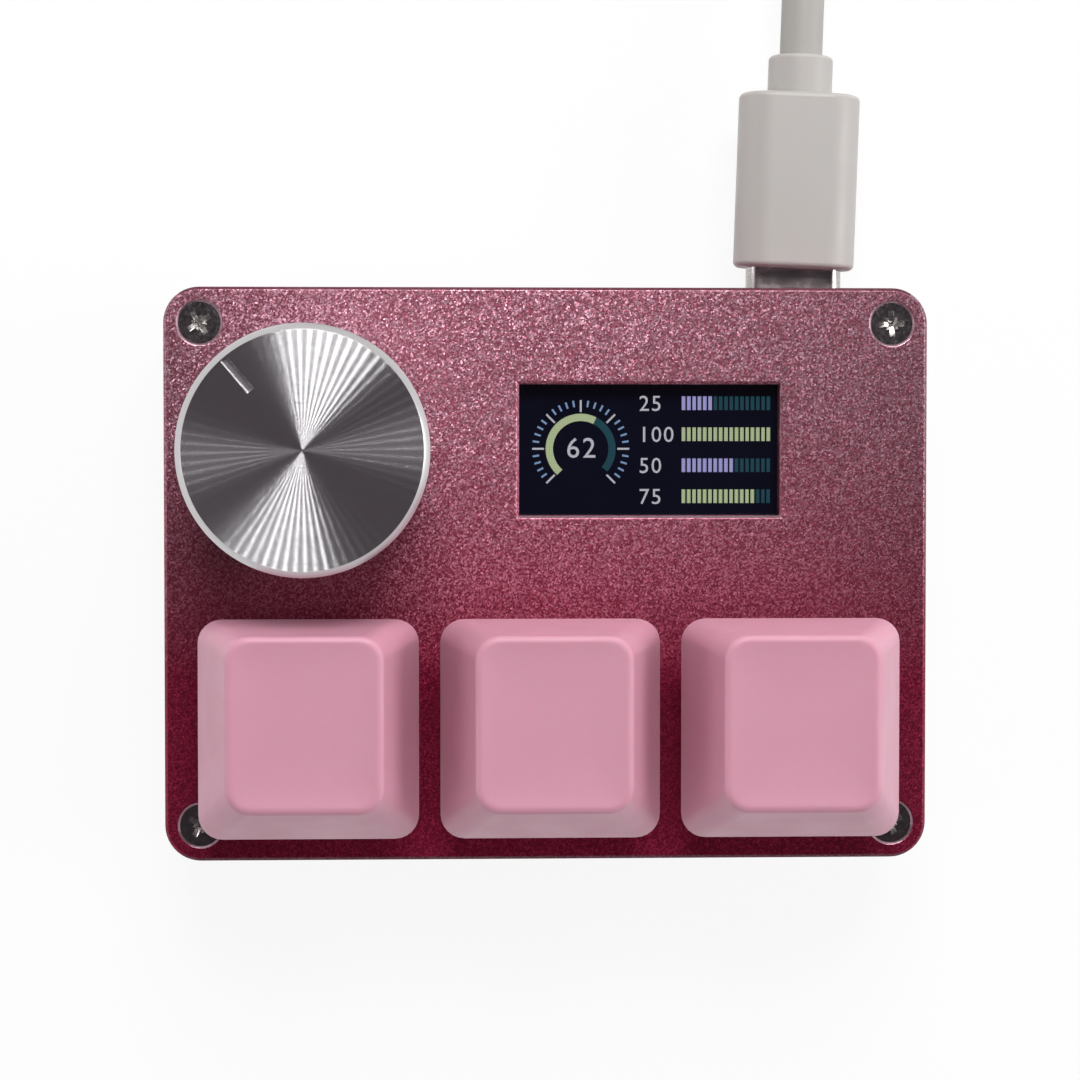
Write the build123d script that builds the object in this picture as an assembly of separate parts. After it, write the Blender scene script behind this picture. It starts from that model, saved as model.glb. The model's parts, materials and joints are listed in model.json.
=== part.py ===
from build123d import *
import math
import os

# Macro keypad: three sprung keys, one knob that turns and presses, and a small colour screen, in an
# aluminium case that stands on four rubber feet, with its USB lead plugged in at the back.
# Millimetres. +X right, +Y back (towards the lead), +Z up. The origin is the centre of the
# footprint, on the surface that the feet stand on.

# ---------------------------------------------------------------- driving dimensions
# case
CASE_WIDTH = 64.0
CASE_DEPTH = 48.0
CASE_CORNER = 3.0
INNER_CORNER = 0.4        # least corner inside the tray
WALL = 2.0                # side wall of the tray
FLOOR = 2.0               # floor of the tray
PLATE_THICK = 1.5         # the thickness that the snap clips of the switches need
PLATE_EDGE = 0.25         # bright chamfer round the plate's top edge and its window
TRAY_EDGE = 0.6           # chamfer under the tray
BOARD_LIFT = 4.2          # from the tray's floor to the board
BOARD_THICK = 1.6
BOARD_GAP = 0.3           # round the board, inside the tray
BOARD_CORNER = 0.5
PLATE_TO_BOARD = 5.0      # from the plate's top to the board's top

# screws and feet
SCREW_INSET = 3.0         # screw centre from both edges of the plate
SCREW_R = 1.0             # M2
SCREW_LENGTH = 7.0
SCREW_SPARE = 1.0         # blind hole past the screw's end
SCREW_HEAD_R = 1.75
SINK_R = 1.93             # mouth of the countersink
THREAD_PLAY = 0.02
CROSS_SPAN = 2.1          # cross recess in the head
CROSS_SLOT = 0.42
CROSS_DEPTH = 0.7
SCREW_TURNS = (32.0, 4.0, 58.0, 21.0)
BOSS_R = 2.4
FOOT_R = 4.0
FOOT_HEIGHT = 2.0
FOOT_SEAT = 0.5           # depth of the pocket that holds the foot
FOOT_INSET = 8.0          # foot centre from the edges of the case
FOOT_EDGE = 0.4

# keys
KEY_PITCH = 19.75
KEY_ROW_Y = -12.4
KEY_TRAVEL = 4.0
CUTOUT = 14.0             # square switch cut-out in the plate
CUTOUT_PLAY = 0.05
FLANGE_SIDE = 15.6        # flange of the lower housing, on the plate
FLANGE_THICK = 1.0
FLANGE_CORNER = 0.8
HOUSING_CORNER = 0.4      # of the lower housing, in the cut-out
HOUSING_HEIGHT = 6.6      # top of the upper housing above the plate
HOUSING_BASE = 14.6
HOUSING_TOP = 10.2
HOUSING_ROOF = 1.2
HOUSING_FLOOR = 1.4
CAVITY_SIDE = 10.8
CLIP_REACH = 0.35
CLIP_HEIGHT = 1.2
CLIP_WIDTH = 4.0
POLE_R = 1.95
POLE_LENGTH = 3.3
POLE_END = 0.6
HOLE_PLAY = 0.1           # round pins, poles and lugs
SLIDER_WIDTH = 8.4
SLIDER_DEPTH = 7.0
SLIDER_SPARE = 1.1        # under the slider when the key is down
SLIDER_CORNER = 0.3
SLIDER_PLAY = 0.25
NECK_WIDTH = 6.2
NECK_DEPTH = 5.4
NECK_PLAY = 0.3
NECK_RISE = 0.2           # how far the neck stands below the housing's top at rest
CROSS_SIDE = 4.0
CROSS_BAR = 1.2
CROSS_HEIGHT = 3.8
ROD_R = 1.3
ROD_PLAY = 0.2
ROD_REACH = 4.1           # below the slider's underside
SPRING_R = 2.2
SPRING_WIRE = 0.28
SPRING_TURNS = 6
SPRING_END = 0.05
POCKET_R = 2.9
POCKET_DEPTH = 2.9
LEAF_THICK = 0.3
LEAF_WIDTH = 3.0
LEAF_REACH = 3.4          # from the cavity's floor up
LEAF_STEP = 0.9           # between the two leaves
LEAF_OUT = 2.6            # pins either side of the switch's middle
PIN_WIDTH = 0.9
PIN_LENGTH = 3.3          # below the board's top

# keycaps
CAP_BASE = 18.0
CAP_BASE_CORNER = 1.6
CAP_TOP_WIDTH = 12.2
CAP_TOP_DEPTH = 13.3
CAP_TOP_CORNER = 1.4
CAP_TOP_SHIFT = 0.95      # the top sits towards the back, so the front slope is the long one
CAP_HEIGHT = 8.4
CAP_CLEARANCE = 1.8       # skirt above the plate when the key is down
CAP_WALL = 1.3
CAP_INNER_CORNER = 0.3
CAP_ROOF = 1.5
CAP_RIM = 0.7             # bevel round the top
CAP_DISH = 0.4
CAP_DISH_HALF = 5.4
POST_R = 2.75
SOCKET_PLAY = 0.03
RIB_THICK = 0.8
RIB_HEIGHT = 1.3

# encoder and knob
KNOB_X = -19.8
KNOB_INSET = 13.65        # knob's axis from the back face
ENCODER_WIDTH = 12.0
ENCODER_DEPTH = 11.6
ENCODER_GAP = 0.5         # round the encoder, in the plate
ENCODER_HEIGHT = 6.5
ENCODER_EDGE = 0.3
BRACKET_SHEET = 0.4
LUG_WIDTH = 2.2
LUG_LENGTH = 2.4
WAFER_THICK = 1.9
WAFER_WEB = 0.4
WELL_R = 3.5
ROTOR_R = 4.9
ROTOR_THICK = 1.9
ROTOR_GAP = 0.2
ROTOR_PLAY = 0.3
DETENT_THICK = 0.2
DETENT_BORE = 3.7
NECK_R = 3.5              # M7 neck
NECK_HEIGHT = 5.0
SHAFT_R = 3.0
SHAFT_PLAY = 0.05
SHAFT_LENGTH = 11.7       # above the encoder's body
SHAFT_EDGE = 0.4
SHAFT_FLAT = 1.5          # depth of the flat that the knob sits on
FLAT_LENGTH = 6.5
DRIVE_HALF = 2.2          # half the width across the shaft's two drive flats
TERMINAL_WIDTH = 0.8
TERMINAL_THICK = 0.3
TERMINAL_STEP = 2.5
TERMINAL_REACH = 3.2
DOME_R = 2.6
DOME_SPARE = 0.2          # height left when the dome is pressed flat
DOME_SHEET = 0.12
DOME_GAP = 0.03
KNOB_R = 10.0
KNOB_HEIGHT = 12.6
KNOB_TRAVEL = 0.5
KNOB_CLEARANCE = 0.4      # under the knob when it is pressed
KNOB_RIM = 0.5
KNOB_FOOT = 0.3
KNOB_BORE_PLAY = 0.02
KNOB_BORE_SPARE = 0.1     # above the shaft's end
KNOB_RECESS_R = 4.4
POINTER_ANGLE = 130.6
POINTER_LENGTH = 3.2
POINTER_WIDTH = 0.65
POINTER_DEPTH = 0.4
GRUB_R = 1.5
GRUB_LENGTH = 5.0
GRUB_HEX = 0.75
GRUB_RISE = 9.2           # grub screw above the knob's underside

# screen
SCREEN_X = 8.6
SCREEN_INSET = 13.6       # screen's middle from the back face
WINDOW_WIDTH = 21.9
WINDOW_HEIGHT = 11.0
PANEL_WIDTH = 27.5
PANEL_DEPTH = 13.0
PANEL_SHIFT = 1.2         # the ribbon end of the panel is the wide one
PANEL_THICK = 0.9
BACKLIGHT_EDGE = 0.2
BACKLIGHT_THICK = 0.6
GASKET_THICK = 0.3
GASKET_EDGE = 0.8
PAD_WIDTH = 15.0
PAD_DEPTH = 9.0
RIBBON_WIDTH = 8.0
RIBBON_THICK = 0.14
RIBBON_OUT = 0.6
RIBBON_TAIL = 5.0
RIBBON_PLAY = 0.2         # either side of the ribbon, in the backlight

# board
CONTROLLER_SIDE = 7.0
CONTROLLER_THICK = 1.4
CONTROLLER_EDGE = 0.2
CONTROLLER_X = 3.0
CONTROLLER_Y = 4.5
FLASH_SIZE = (5.2, 4.0, 1.6)
FLASH_AT = (-7.5, 4.0)
CRYSTAL_SIZE = (3.2, 2.5, 0.8)
CRYSTAL_AT = (10.5, 3.5)
REGULATOR_SIZE = (3.0, 1.6, 1.1)
REGULATOR_X = 13.5
REGULATOR_INSET = 9.5     # from the back face
CAPACITOR_SIZE = (1.6, 0.8, 0.8)
CAPACITOR_STEP = 2.6
CAPACITOR_COUNT = 5
CAPACITOR_AT = (-2.0, 11.5)

# USB-C socket and plug
PORT_FROM_SCREW = 7.3     # port's axis from the screw beside it
SOCKET_WIDTH = 8.94
SOCKET_HEIGHT = 3.26
SOCKET_LENGTH = 7.35
SOCKET_SHEET = 0.3
SOCKET_INSET = 0.2        # mouth behind the tray's back face
SOCKET_BLOCK = 1.1
TONGUE_WIDTH = 6.69
TONGUE_THICK = 0.7
TONGUE_INSET = 1.2
PORT_GAP = 0.3
NOSE_WIDTH = 8.25
NOSE_HEIGHT = 2.4
NOSE_SHEET = 0.3
NOSE_OUT = 2.1            # bare metal between the case and the moulding
NOSE_IN = 4.3             # inside the socket
NOSE_ROOT = 3.0           # inside the moulding
SLOT_PLAY = 0.15
SLOT_CORNER = 0.1
PLUG_WIDTH = 10.4
PLUG_THICK = 6.3
PLUG_LENGTH = 15.0
PLUG_CORNER = 2.9
PLUG_EDGE = 0.6
PLUG_LEAN = 2.0           # degrees, the moulding sits a little askew on its nose
COLLAR_R = 2.78
COLLAR_LENGTH = 3.3

# lead
CORD_R = 1.85
STRAIGHT_RUN = 7.0        # straight out of each collar
COIL_RADIUS = 19.4        # middle of the turns
COIL_WIDE = 4             # turns side by side
COIL_HIGH = 2             # layers
COIL_ACROSS = 20.34       # coil's centre to the left of the lead's exit
COIL_BEYOND = 44.11       # and behind it
COIL_EDGE = 1.1
JOIN_LAP = 2.0            # lead's end inside the coil's first turn
TIE_THICK = 0.4
TIE_WIDTH = 6.0
TIE_ANGLE = 180.0
HOST_WIDTH = 15.5
HOST_THICK = 7.8
HOST_LENGTH = 15.0
HOST_CORNER = 2.4
HOST_SHELL_WIDTH = 12.0
HOST_SHELL_HEIGHT = 4.5
HOST_SHELL_OUT = 14.5
HOST_SHELL_ROOT = 3.0
HOST_SHEET = 0.3
HOST_SHELL_CORNER = 0.4
HOST_WINDOW = 2.2         # square holes in the shell
HOST_TONGUE = 1.9
HOST_PLAY = 0.03          # round the plastic inside the shell
HOST_BEYOND = 35.5        # plug's axis behind the coil's centre
HOST_ACROSS = 5.6         # and its collar's end to the left

# ---------------------------------------------------------------- levels and places worked out
CORD_D = 2 * CORD_R
tray_base = FOOT_HEIGHT - FOOT_SEAT
tray_floor = tray_base + FLOOR
board_under = tray_floor + BOARD_LIFT
board_top = board_under + BOARD_THICK
plate_top = board_top + PLATE_TO_BOARD
plate_under = plate_top - PLATE_THICK
back_face = CASE_DEPTH / 2
knob_y = back_face - KNOB_INSET
screen_y = back_face - SCREEN_INSET

screw_end = plate_top - SCREW_LENGTH
screw_x = CASE_WIDTH / 2 - SCREW_INSET
screw_y = CASE_DEPTH / 2 - SCREW_INSET
SCREW_PLACES = [(-screw_x, screw_y), (screw_x, screw_y), (-screw_x, -screw_y), (screw_x, -screw_y)]
KEY_NAMES = ["left", "middle", "right"]
KEY_PLACES = [(-KEY_PITCH, KEY_ROW_Y), (0.0, KEY_ROW_Y), (KEY_PITCH, KEY_ROW_Y)]

cavity_floor = HOUSING_FLOOR - PLATE_TO_BOARD      # in a switch, zero is the plate's top
slider_low = cavity_floor + KEY_TRAVEL + SLIDER_SPARE
roof_under = HOUSING_HEIGHT - HOUSING_ROOF
slider_top = roof_under - HOLE_PLAY
neck_top = HOUSING_HEIGHT - NECK_RISE
cross_top = neck_top + CROSS_HEIGHT
pocket_top = slider_low + POCKET_DEPTH
cap_low = KEY_TRAVEL + CAP_CLEARANCE
cap_top = cap_low + CAP_HEIGHT

encoder_top = board_top + ENCODER_HEIGHT
housing_roof = ENCODER_HEIGHT - BRACKET_SHEET      # in the encoder, zero is the board's top
rotor_low = WAFER_THICK + ROTOR_GAP
rotor_top = rotor_low + ROTOR_THICK
detent_low = rotor_top + ROTOR_GAP
neck_end = ENCODER_HEIGHT + NECK_HEIGHT
dome_height = KNOB_TRAVEL + DOME_SPARE
dome_top = WAFER_WEB + dome_height
shaft_low = dome_top + DOME_GAP
shaft_shoulder = rotor_top + KNOB_TRAVEL + ROTOR_GAP
shaft_top = ENCODER_HEIGHT + SHAFT_LENGTH
knob_over = KNOB_TRAVEL + KNOB_CLEARANCE
knob_low = ENCODER_HEIGHT + knob_over
knob_top = knob_low + KNOB_HEIGHT

panel_top = plate_under - GASKET_THICK
panel_low = panel_top - PANEL_THICK
backlight_low = panel_low - BACKLIGHT_THICK
panel_x = SCREEN_X + PANEL_SHIFT

port_x = screw_x - PORT_FROM_SCREW
port_z = board_under - SOCKET_HEIGHT / 2
mouth_y = back_face - SOCKET_INSET
socket_back = mouth_y - SOCKET_LENGTH
nose_tip = mouth_y - NOSE_IN
plug_front = back_face + NOSE_OUT
nose_end = plug_front + NOSE_ROOT
lean = math.radians(PLUG_LEAN)
collar_end = PLUG_LENGTH + COLLAR_LENGTH
exit_x = port_x + collar_end * math.sin(lean)
exit_y = plug_front + collar_end * math.cos(lean)

coil_x = exit_x - COIL_ACROSS
coil_y = exit_y + COIL_BEYOND
coil_low = TIE_THICK
coil_first_z = coil_low + CORD_R
coil_last_z = coil_low + CORD_D * (COIL_HIGH - 0.5)
coil_outer_turn = COIL_RADIUS + CORD_D * (COIL_WIDE - 1) / 2
join_x = coil_x + coil_outer_turn
host_x = coil_x - HOST_ACROSS
host_y = coil_y + HOST_BEYOND
host_z = HOST_THICK / 2


# ---------------------------------------------------------------- small helpers
def slab(width, depth, corner, low, high):
    """Upright block with rounded corners between two levels, centred on Z."""
    return extrude(Plane.XY.offset(low) * RectangleRounded(width, depth, corner), high - low)


def block(width, depth, low, high):
    """Upright square-cornered block between two levels, centred on Z."""
    return Pos(0, 0, (low + high) / 2) * Box(width, depth, high - low)


def rod(radius, low, high):
    """Upright cylinder between two levels on Z."""
    return Pos(0, 0, (low + high) / 2) * Cylinder(radius, high - low)


def bar_along_y(width, height, corner, start, end):
    """Bar of rounded section that runs along Y, centred on X = Z = 0."""
    face = Plane(origin=(0, start, 0), x_dir=(1, 0, 0), z_dir=(0, 1, 0)) * RectangleRounded(
        width, height, corner
    )
    return extrude(face, end - start)


def slot_along_y(width, height, start, end):
    """Bar of a section with full round ends that runs along Y, centred on X = Z = 0."""
    face = Plane(origin=(0, start, 0), x_dir=(1, 0, 0), z_dir=(0, 1, 0)) * SlotOverall(width, height)
    return extrude(face, end - start)


def at_all(shape, places):
    """Copies of a shape at several places, as separate solids."""
    return [Pos(x, y, 0) * shape for x, y in places]


# ---------------------------------------------------------------- case
def top_plate():
    plate = slab(CASE_WIDTH, CASE_DEPTH, CASE_CORNER, plate_under, plate_top)
    window = Pos(SCREEN_X, screen_y, 0) * block(WINDOW_WIDTH, WINDOW_HEIGHT, plate_under, plate_top)
    room_width = ENCODER_WIDTH + 2 * (BRACKET_SHEET + ENCODER_GAP)
    room_depth = ENCODER_DEPTH + 2 * ENCODER_GAP
    encoder_room = Pos(KNOB_X, knob_y, 0) * block(room_width, room_depth, plate_under, plate_top)
    plate -= window
    top_edges = plate.edges().group_by(Axis.Z)[-1]
    plate = chamfer(top_edges, PLATE_EDGE)
    plate -= encoder_room
    for x, y in KEY_PLACES:
        plate -= Pos(x, y, 0) * block(CUTOUT, CUTOUT, plate_under, plate_top)
    sink = Cone(0, SINK_R, SINK_R, align=(Align.CENTER, Align.CENTER, Align.MAX))
    for x, y in SCREW_PLACES:
        plate -= Pos(x, y, plate_top) * sink
        plate -= Pos(x, y, 0) * rod(SCREW_R + THREAD_PLAY, plate_under, plate_top)
    return plate


def case_tray():
    tray = slab(CASE_WIDTH, CASE_DEPTH, CASE_CORNER, tray_base, plate_under)
    tray = chamfer(tray.edges().group_by(Axis.Z)[0], TRAY_EDGE)
    inner_corner = max(CASE_CORNER - WALL, INNER_CORNER)
    tray -= slab(CASE_WIDTH - 2 * WALL, CASE_DEPTH - 2 * WALL, inner_corner, tray_floor, plate_under)
    outline = slab(CASE_WIDTH - WALL, CASE_DEPTH - WALL, CASE_CORNER - WALL / 2, tray_floor, plate_under)
    for x, y in SCREW_PLACES:
        tray += Pos(x, y, 0) * rod(BOSS_R, tray_floor, plate_under) & outline
    for x, y in SCREW_PLACES:
        tray -= Pos(x, y, 0) * rod(SCREW_R + THREAD_PLAY, screw_end - SCREW_SPARE, plate_under)
    port = slot_along_y(
        SOCKET_WIDTH + 2 * PORT_GAP, SOCKET_HEIGHT + 2 * PORT_GAP, back_face - WALL - BOSS_R, back_face
    )
    tray -= Pos(port_x, 0, port_z) * port
    for x, y in foot_places():
        tray -= Pos(x, y, 0) * rod(FOOT_R + THREAD_PLAY, tray_base, tray_base + FOOT_SEAT)
    return tray


def foot_places():
    x, y = CASE_WIDTH / 2 - FOOT_INSET, CASE_DEPTH / 2 - FOOT_INSET
    return [(-x, y), (x, y), (-x, -y), (x, -y)]


def rubber_feet():
    foot = rod(FOOT_R, 0, FOOT_HEIGHT)
    foot = chamfer(foot.edges().group_by(Axis.Z)[0], FOOT_EDGE)
    return at_all(foot, foot_places())


def plate_screws():
    """Countersunk screws whose heads sit a little under the plate's top."""
    head_top = plate_top - (SINK_R - SCREW_HEAD_R) + THREAD_PLAY
    cone_height = SCREW_HEAD_R - SCREW_R
    profile = make_face(
        Polyline(
            (0, head_top),
            (SCREW_HEAD_R, head_top),
            (SCREW_R, head_top - cone_height),
            (SCREW_R, screw_end),
            (0, screw_end),
            close=True,
        )
    )
    screw = revolve(Plane.XZ * profile, Axis.Z)
    slot = block(CROSS_SPAN, CROSS_SLOT, head_top - CROSS_DEPTH, head_top)
    screw = screw - slot - Rot(0, 0, 90) * slot
    return [
        Pos(x, y, 0) * Rot(0, 0, turn) * screw
        for (x, y), turn in zip(SCREW_PLACES, SCREW_TURNS)
    ]


# ---------------------------------------------------------------- board
def under_board(width, depth, height):
    """A component on the board's underside, centred on Z."""
    return block(width, depth, board_under - height, board_under)


def circuit_board():
    gap = WALL + BOARD_GAP
    board = slab(CASE_WIDTH - 2 * gap, CASE_DEPTH - 2 * gap, BOARD_CORNER, board_under, board_top)
    for x, y in SCREW_PLACES:
        board -= Pos(x, y, 0) * rod(BOSS_R + BOARD_GAP, board_under, board_top)
    for x, y in KEY_PLACES:
        board -= Pos(x, y, 0) * rod(POLE_R + HOLE_PLAY, board_under, board_top)
        for px, py in leaf_pins():
            board -= Pos(x + px, y + py, 0) * rod(PIN_WIDTH / 2 + HOLE_PLAY, board_under, board_top)
    here = Pos(KNOB_X, knob_y, 0)
    for side in (-1, 1):
        slot = block(BRACKET_SHEET + 2 * HOLE_PLAY, LUG_WIDTH + 2 * HOLE_PLAY, board_under, board_top)
        board -= here * Pos(side * (ENCODER_WIDTH + BRACKET_SHEET) / 2, 0, 0) * slot
    for px, py in terminal_places():
        board -= here * Pos(px, py, 0) * rod(TERMINAL_WIDTH / 2 + HOLE_PLAY, board_under, board_top)
    return board


def controller_chip():
    chip = under_board(CONTROLLER_SIDE, CONTROLLER_SIDE, CONTROLLER_THICK)
    chip = chamfer(chip.edges().group_by(Axis.Z)[0], CONTROLLER_EDGE)
    return Pos(CONTROLLER_X, CONTROLLER_Y, 0) * chip


def capacitors():
    x, y = CAPACITOR_AT
    places = [(x + CAPACITOR_STEP * k, y) for k in range(CAPACITOR_COUNT)]
    return at_all(under_board(*CAPACITOR_SIZE), places)


def in_port(shape):
    return Pos(port_x, 0, port_z) * shape


def socket_inside(end):
    """Space inside the socket's shell, from its back."""
    return slot_along_y(
        SOCKET_WIDTH - 2 * SOCKET_SHEET, SOCKET_HEIGHT - 2 * SOCKET_SHEET, socket_back, end
    )


def usb_socket_shell():
    shell = slot_along_y(SOCKET_WIDTH, SOCKET_HEIGHT, socket_back, mouth_y)
    return in_port(shell - socket_inside(mouth_y))


def usb_socket_tongue():
    """Plastic block at the back of the socket with the contact tongue in front of it."""
    rear = socket_inside(socket_back + SOCKET_BLOCK)
    tongue = slot_along_y(TONGUE_WIDTH, TONGUE_THICK, socket_back, mouth_y - TONGUE_INSET)
    return in_port(rear + tongue)


# ---------------------------------------------------------------- key switch, zero at the plate's top
def switch_bottom():
    """Lower housing: flange on the plate, two snap clips under it and a pole through the board."""
    side = CUTOUT - 2 * CUTOUT_PLAY
    housing = slab(FLANGE_SIDE, FLANGE_SIDE, FLANGE_CORNER, 0, FLANGE_THICK)
    housing += slab(side, side, HOUSING_CORNER, -PLATE_TO_BOARD, 0)
    wedge = make_face(
        Polyline(
            (side / 2, -PLATE_THICK),
            (side / 2 + CLIP_REACH, -PLATE_THICK),
            (side / 2, -PLATE_THICK - CLIP_HEIGHT),
            close=True,
        )
    )
    clip = extrude(Plane.YZ * wedge, CLIP_WIDTH / 2, both=True)
    housing += clip
    housing += Rot(0, 0, 180) * clip
    pole_low = -PLATE_TO_BOARD - POLE_LENGTH
    housing += rod(POLE_R, pole_low, -PLATE_TO_BOARD)
    housing -= block(CAVITY_SIDE, CAVITY_SIDE, cavity_floor, FLANGE_THICK)
    housing -= rod(ROD_R + ROD_PLAY, pole_low + POLE_END, cavity_floor)
    for x, y in leaf_pins():
        pin_room = block(PIN_WIDTH + HOLE_PLAY, LEAF_THICK + HOLE_PLAY, -PLATE_TO_BOARD, cavity_floor)
        housing -= Pos(x, y, 0) * pin_room
    return housing


def switch_top():
    """Upper housing: a tapered hood with the slider's opening in its roof."""
    base = Plane.XY.offset(FLANGE_THICK) * RectangleRounded(HOUSING_BASE, HOUSING_BASE, FLANGE_CORNER)
    roof = Plane.XY.offset(HOUSING_HEIGHT) * RectangleRounded(HOUSING_TOP, HOUSING_TOP, FLANGE_CORNER)
    hood = loft([base.face(), roof.face()], ruled=True)
    hood -= block(
        SLIDER_WIDTH + 2 * SLIDER_PLAY, SLIDER_DEPTH + 2 * SLIDER_PLAY, FLANGE_THICK, roof_under
    )
    hood -= block(NECK_WIDTH + 2 * NECK_PLAY, NECK_DEPTH + 2 * NECK_PLAY, roof_under, HOUSING_HEIGHT)
    return hood


def cross(side, bar, low, high):
    """Cross-shaped post of the stem, or the socket for it."""
    return block(side, bar, low, high) + block(bar, side, low, high)


def switch_stem():
    """Slider with its cross on top, and a guide rod inside the spring."""
    stem = slab(SLIDER_WIDTH, SLIDER_DEPTH, SLIDER_CORNER, slider_low, slider_top)
    stem += slab(NECK_WIDTH, NECK_DEPTH, SLIDER_CORNER, slider_top, neck_top)
    stem += cross(CROSS_SIDE, CROSS_BAR, neck_top, cross_top)
    stem -= rod(POCKET_R, slider_low, pocket_top)
    stem += rod(ROD_R, slider_low - ROD_REACH, pocket_top)
    return stem


def switch_spring():
    """Compression spring between the cavity's floor and the slider's pocket."""
    half = SPRING_WIRE / 2
    low = cavity_floor + half + SPRING_END
    rise = pocket_top - cavity_floor - SPRING_WIRE - 2 * SPRING_END
    helix = Helix(rise / SPRING_TURNS, rise, SPRING_R)
    wire = Plane(origin=helix @ 0, z_dir=helix % 0) * Rectangle(SPRING_WIRE, SPRING_WIRE)
    return Pos(0, 0, low) * sweep(wire, path=helix, is_frenet=True)


def leaf_pins():
    """Pins of the two contact leaves, from the switch's centre."""
    y = CAVITY_SIDE / 2 - LEAF_THICK
    return [(-LEAF_OUT, y - LEAF_STEP), (LEAF_OUT, y)]


def switch_contacts():
    """Fixed and moving contact leaves, each with its pin through the board."""
    leaves = []
    for x, y in leaf_pins():
        toward_middle = -math.copysign((LEAF_WIDTH - PIN_WIDTH) / 2, x)
        blade = Pos(x + toward_middle, y, 0) * block(
            LEAF_WIDTH, LEAF_THICK, cavity_floor, cavity_floor + LEAF_REACH
        )
        pin = Pos(x, y, 0) * block(PIN_WIDTH, LEAF_THICK, -PLATE_TO_BOARD - PIN_LENGTH, cavity_floor)
        leaves.append(blade + pin)
    return leaves


# ---------------------------------------------------------------- keycap, zero at the plate's top
def cap_form(base, width, depth, corners, high):
    """Tapered form from the skirt up to a level, leaning towards the back as the cap does."""
    bottom = Plane.XY.offset(cap_low) * RectangleRounded(base, base, corners[0])
    shift = CAP_TOP_SHIFT * (high - cap_low) / CAP_HEIGHT
    top = Plane.XY.offset(high) * Pos(0, shift) * RectangleRounded(width, depth, corners[1])
    return loft([bottom.face(), top.face()], ruled=True)


def keycap():
    """Hollow cap: tapered sides, dished top, and a post with a cross socket on two ribs."""
    corners = (CAP_BASE_CORNER, CAP_TOP_CORNER)
    cap = cap_form(CAP_BASE, CAP_TOP_WIDTH, CAP_TOP_DEPTH, corners, cap_top)
    cap = chamfer(cap.edges().group_by(Axis.Z)[-1], CAP_RIM)
    dish_r = (CAP_DISH_HALF**2 + CAP_DISH**2) / (2 * CAP_DISH)
    dish = Pos(0, 0, cap_top - CAP_DISH + dish_r) * Rot(90, 0, 0) * Cylinder(dish_r, 2 * CAP_BASE)
    cap -= dish
    ceiling = cap_top - CAP_ROOF - CAP_DISH
    share = (ceiling - cap_low) / CAP_HEIGHT
    inner_base = CAP_BASE - 2 * CAP_WALL
    inner_width = inner_base + (CAP_TOP_WIDTH - CAP_BASE) * share
    inner_depth = inner_base + (CAP_TOP_DEPTH - CAP_BASE) * share
    inner_corners = (CAP_INNER_CORNER, CAP_INNER_CORNER)
    hollow = cap_form(inner_base, inner_width, inner_depth, inner_corners, ceiling)
    ribs = block(CAP_BASE, RIB_THICK, ceiling - RIB_HEIGHT, ceiling) & hollow
    post = rod(POST_R, neck_top, ceiling)
    cap = cap - hollow + ribs + post
    side, bar = CROSS_SIDE + 2 * SOCKET_PLAY, CROSS_BAR + 2 * SOCKET_PLAY
    return cap - cross(side, bar, neck_top, cross_top + SOCKET_PLAY)


# ---------------------------------------------------------------- encoder, zero at the board's top
def terminal_places():
    """Three terminals in front for turning, two behind for pressing."""
    y = (ENCODER_DEPTH + TERMINAL_THICK) / 2
    front = [(TERMINAL_STEP * k, -y) for k in (-1, 0, 1)]
    return front + [(TERMINAL_STEP * k, y) for k in (-1, 1)]


def encoder_base():
    wafer = block(ENCODER_WIDTH, ENCODER_DEPTH, 0, WAFER_THICK)
    return wafer - rod(WELL_R, WAFER_WEB, WAFER_THICK)


def encoder_terminals():
    pin = block(TERMINAL_WIDTH, TERMINAL_THICK, -TERMINAL_REACH, WAFER_THICK / 2)
    return at_all(pin, terminal_places())


def encoder_housing():
    """Die-cast block over the rotor, with the threaded neck that guides the shaft."""
    housing = block(ENCODER_WIDTH, ENCODER_DEPTH, WAFER_THICK, housing_roof)
    housing += rod(NECK_R, housing_roof, neck_end)
    housing = chamfer(housing.edges().group_by(Axis.Z)[-1], ENCODER_EDGE)
    housing -= rod(ROTOR_R + ROTOR_PLAY, WAFER_THICK, detent_low + DETENT_THICK)
    return housing - rod(SHAFT_R + SHAFT_PLAY, detent_low, neck_end)


def encoder_bracket():
    """Folded sheet over the die-cast block, with a lug down each side into the board."""
    width = ENCODER_WIDTH + 2 * BRACKET_SHEET
    bracket = block(width, ENCODER_DEPTH, housing_roof, ENCODER_HEIGHT)
    bracket -= rod(NECK_R + HOLE_PLAY, housing_roof, ENCODER_HEIGHT)
    for side in (-1, 1):
        wall = block(BRACKET_SHEET, ENCODER_DEPTH, 0, housing_roof)
        wall += block(BRACKET_SHEET, LUG_WIDTH, -LUG_LENGTH, 0)
        bracket += Pos(side * (ENCODER_WIDTH + BRACKET_SHEET) / 2, 0, 0) * wall
    return bracket


def two_flats(radius, half, low, high):
    """Rod with two flats, or the bore for it."""
    return rod(radius, low, high) & block(2 * half, 3 * radius, low, high)


def encoder_rotor():
    rotor = rod(ROTOR_R, rotor_low, rotor_top)
    return rotor - two_flats(SHAFT_R + SHAFT_PLAY, DRIVE_HALF + SHAFT_PLAY, rotor_low, rotor_top)


def detent_spring():
    return rod(ROTOR_R, detent_low, detent_low + DETENT_THICK) - rod(
        DETENT_BORE, detent_low, detent_low + DETENT_THICK
    )


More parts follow.
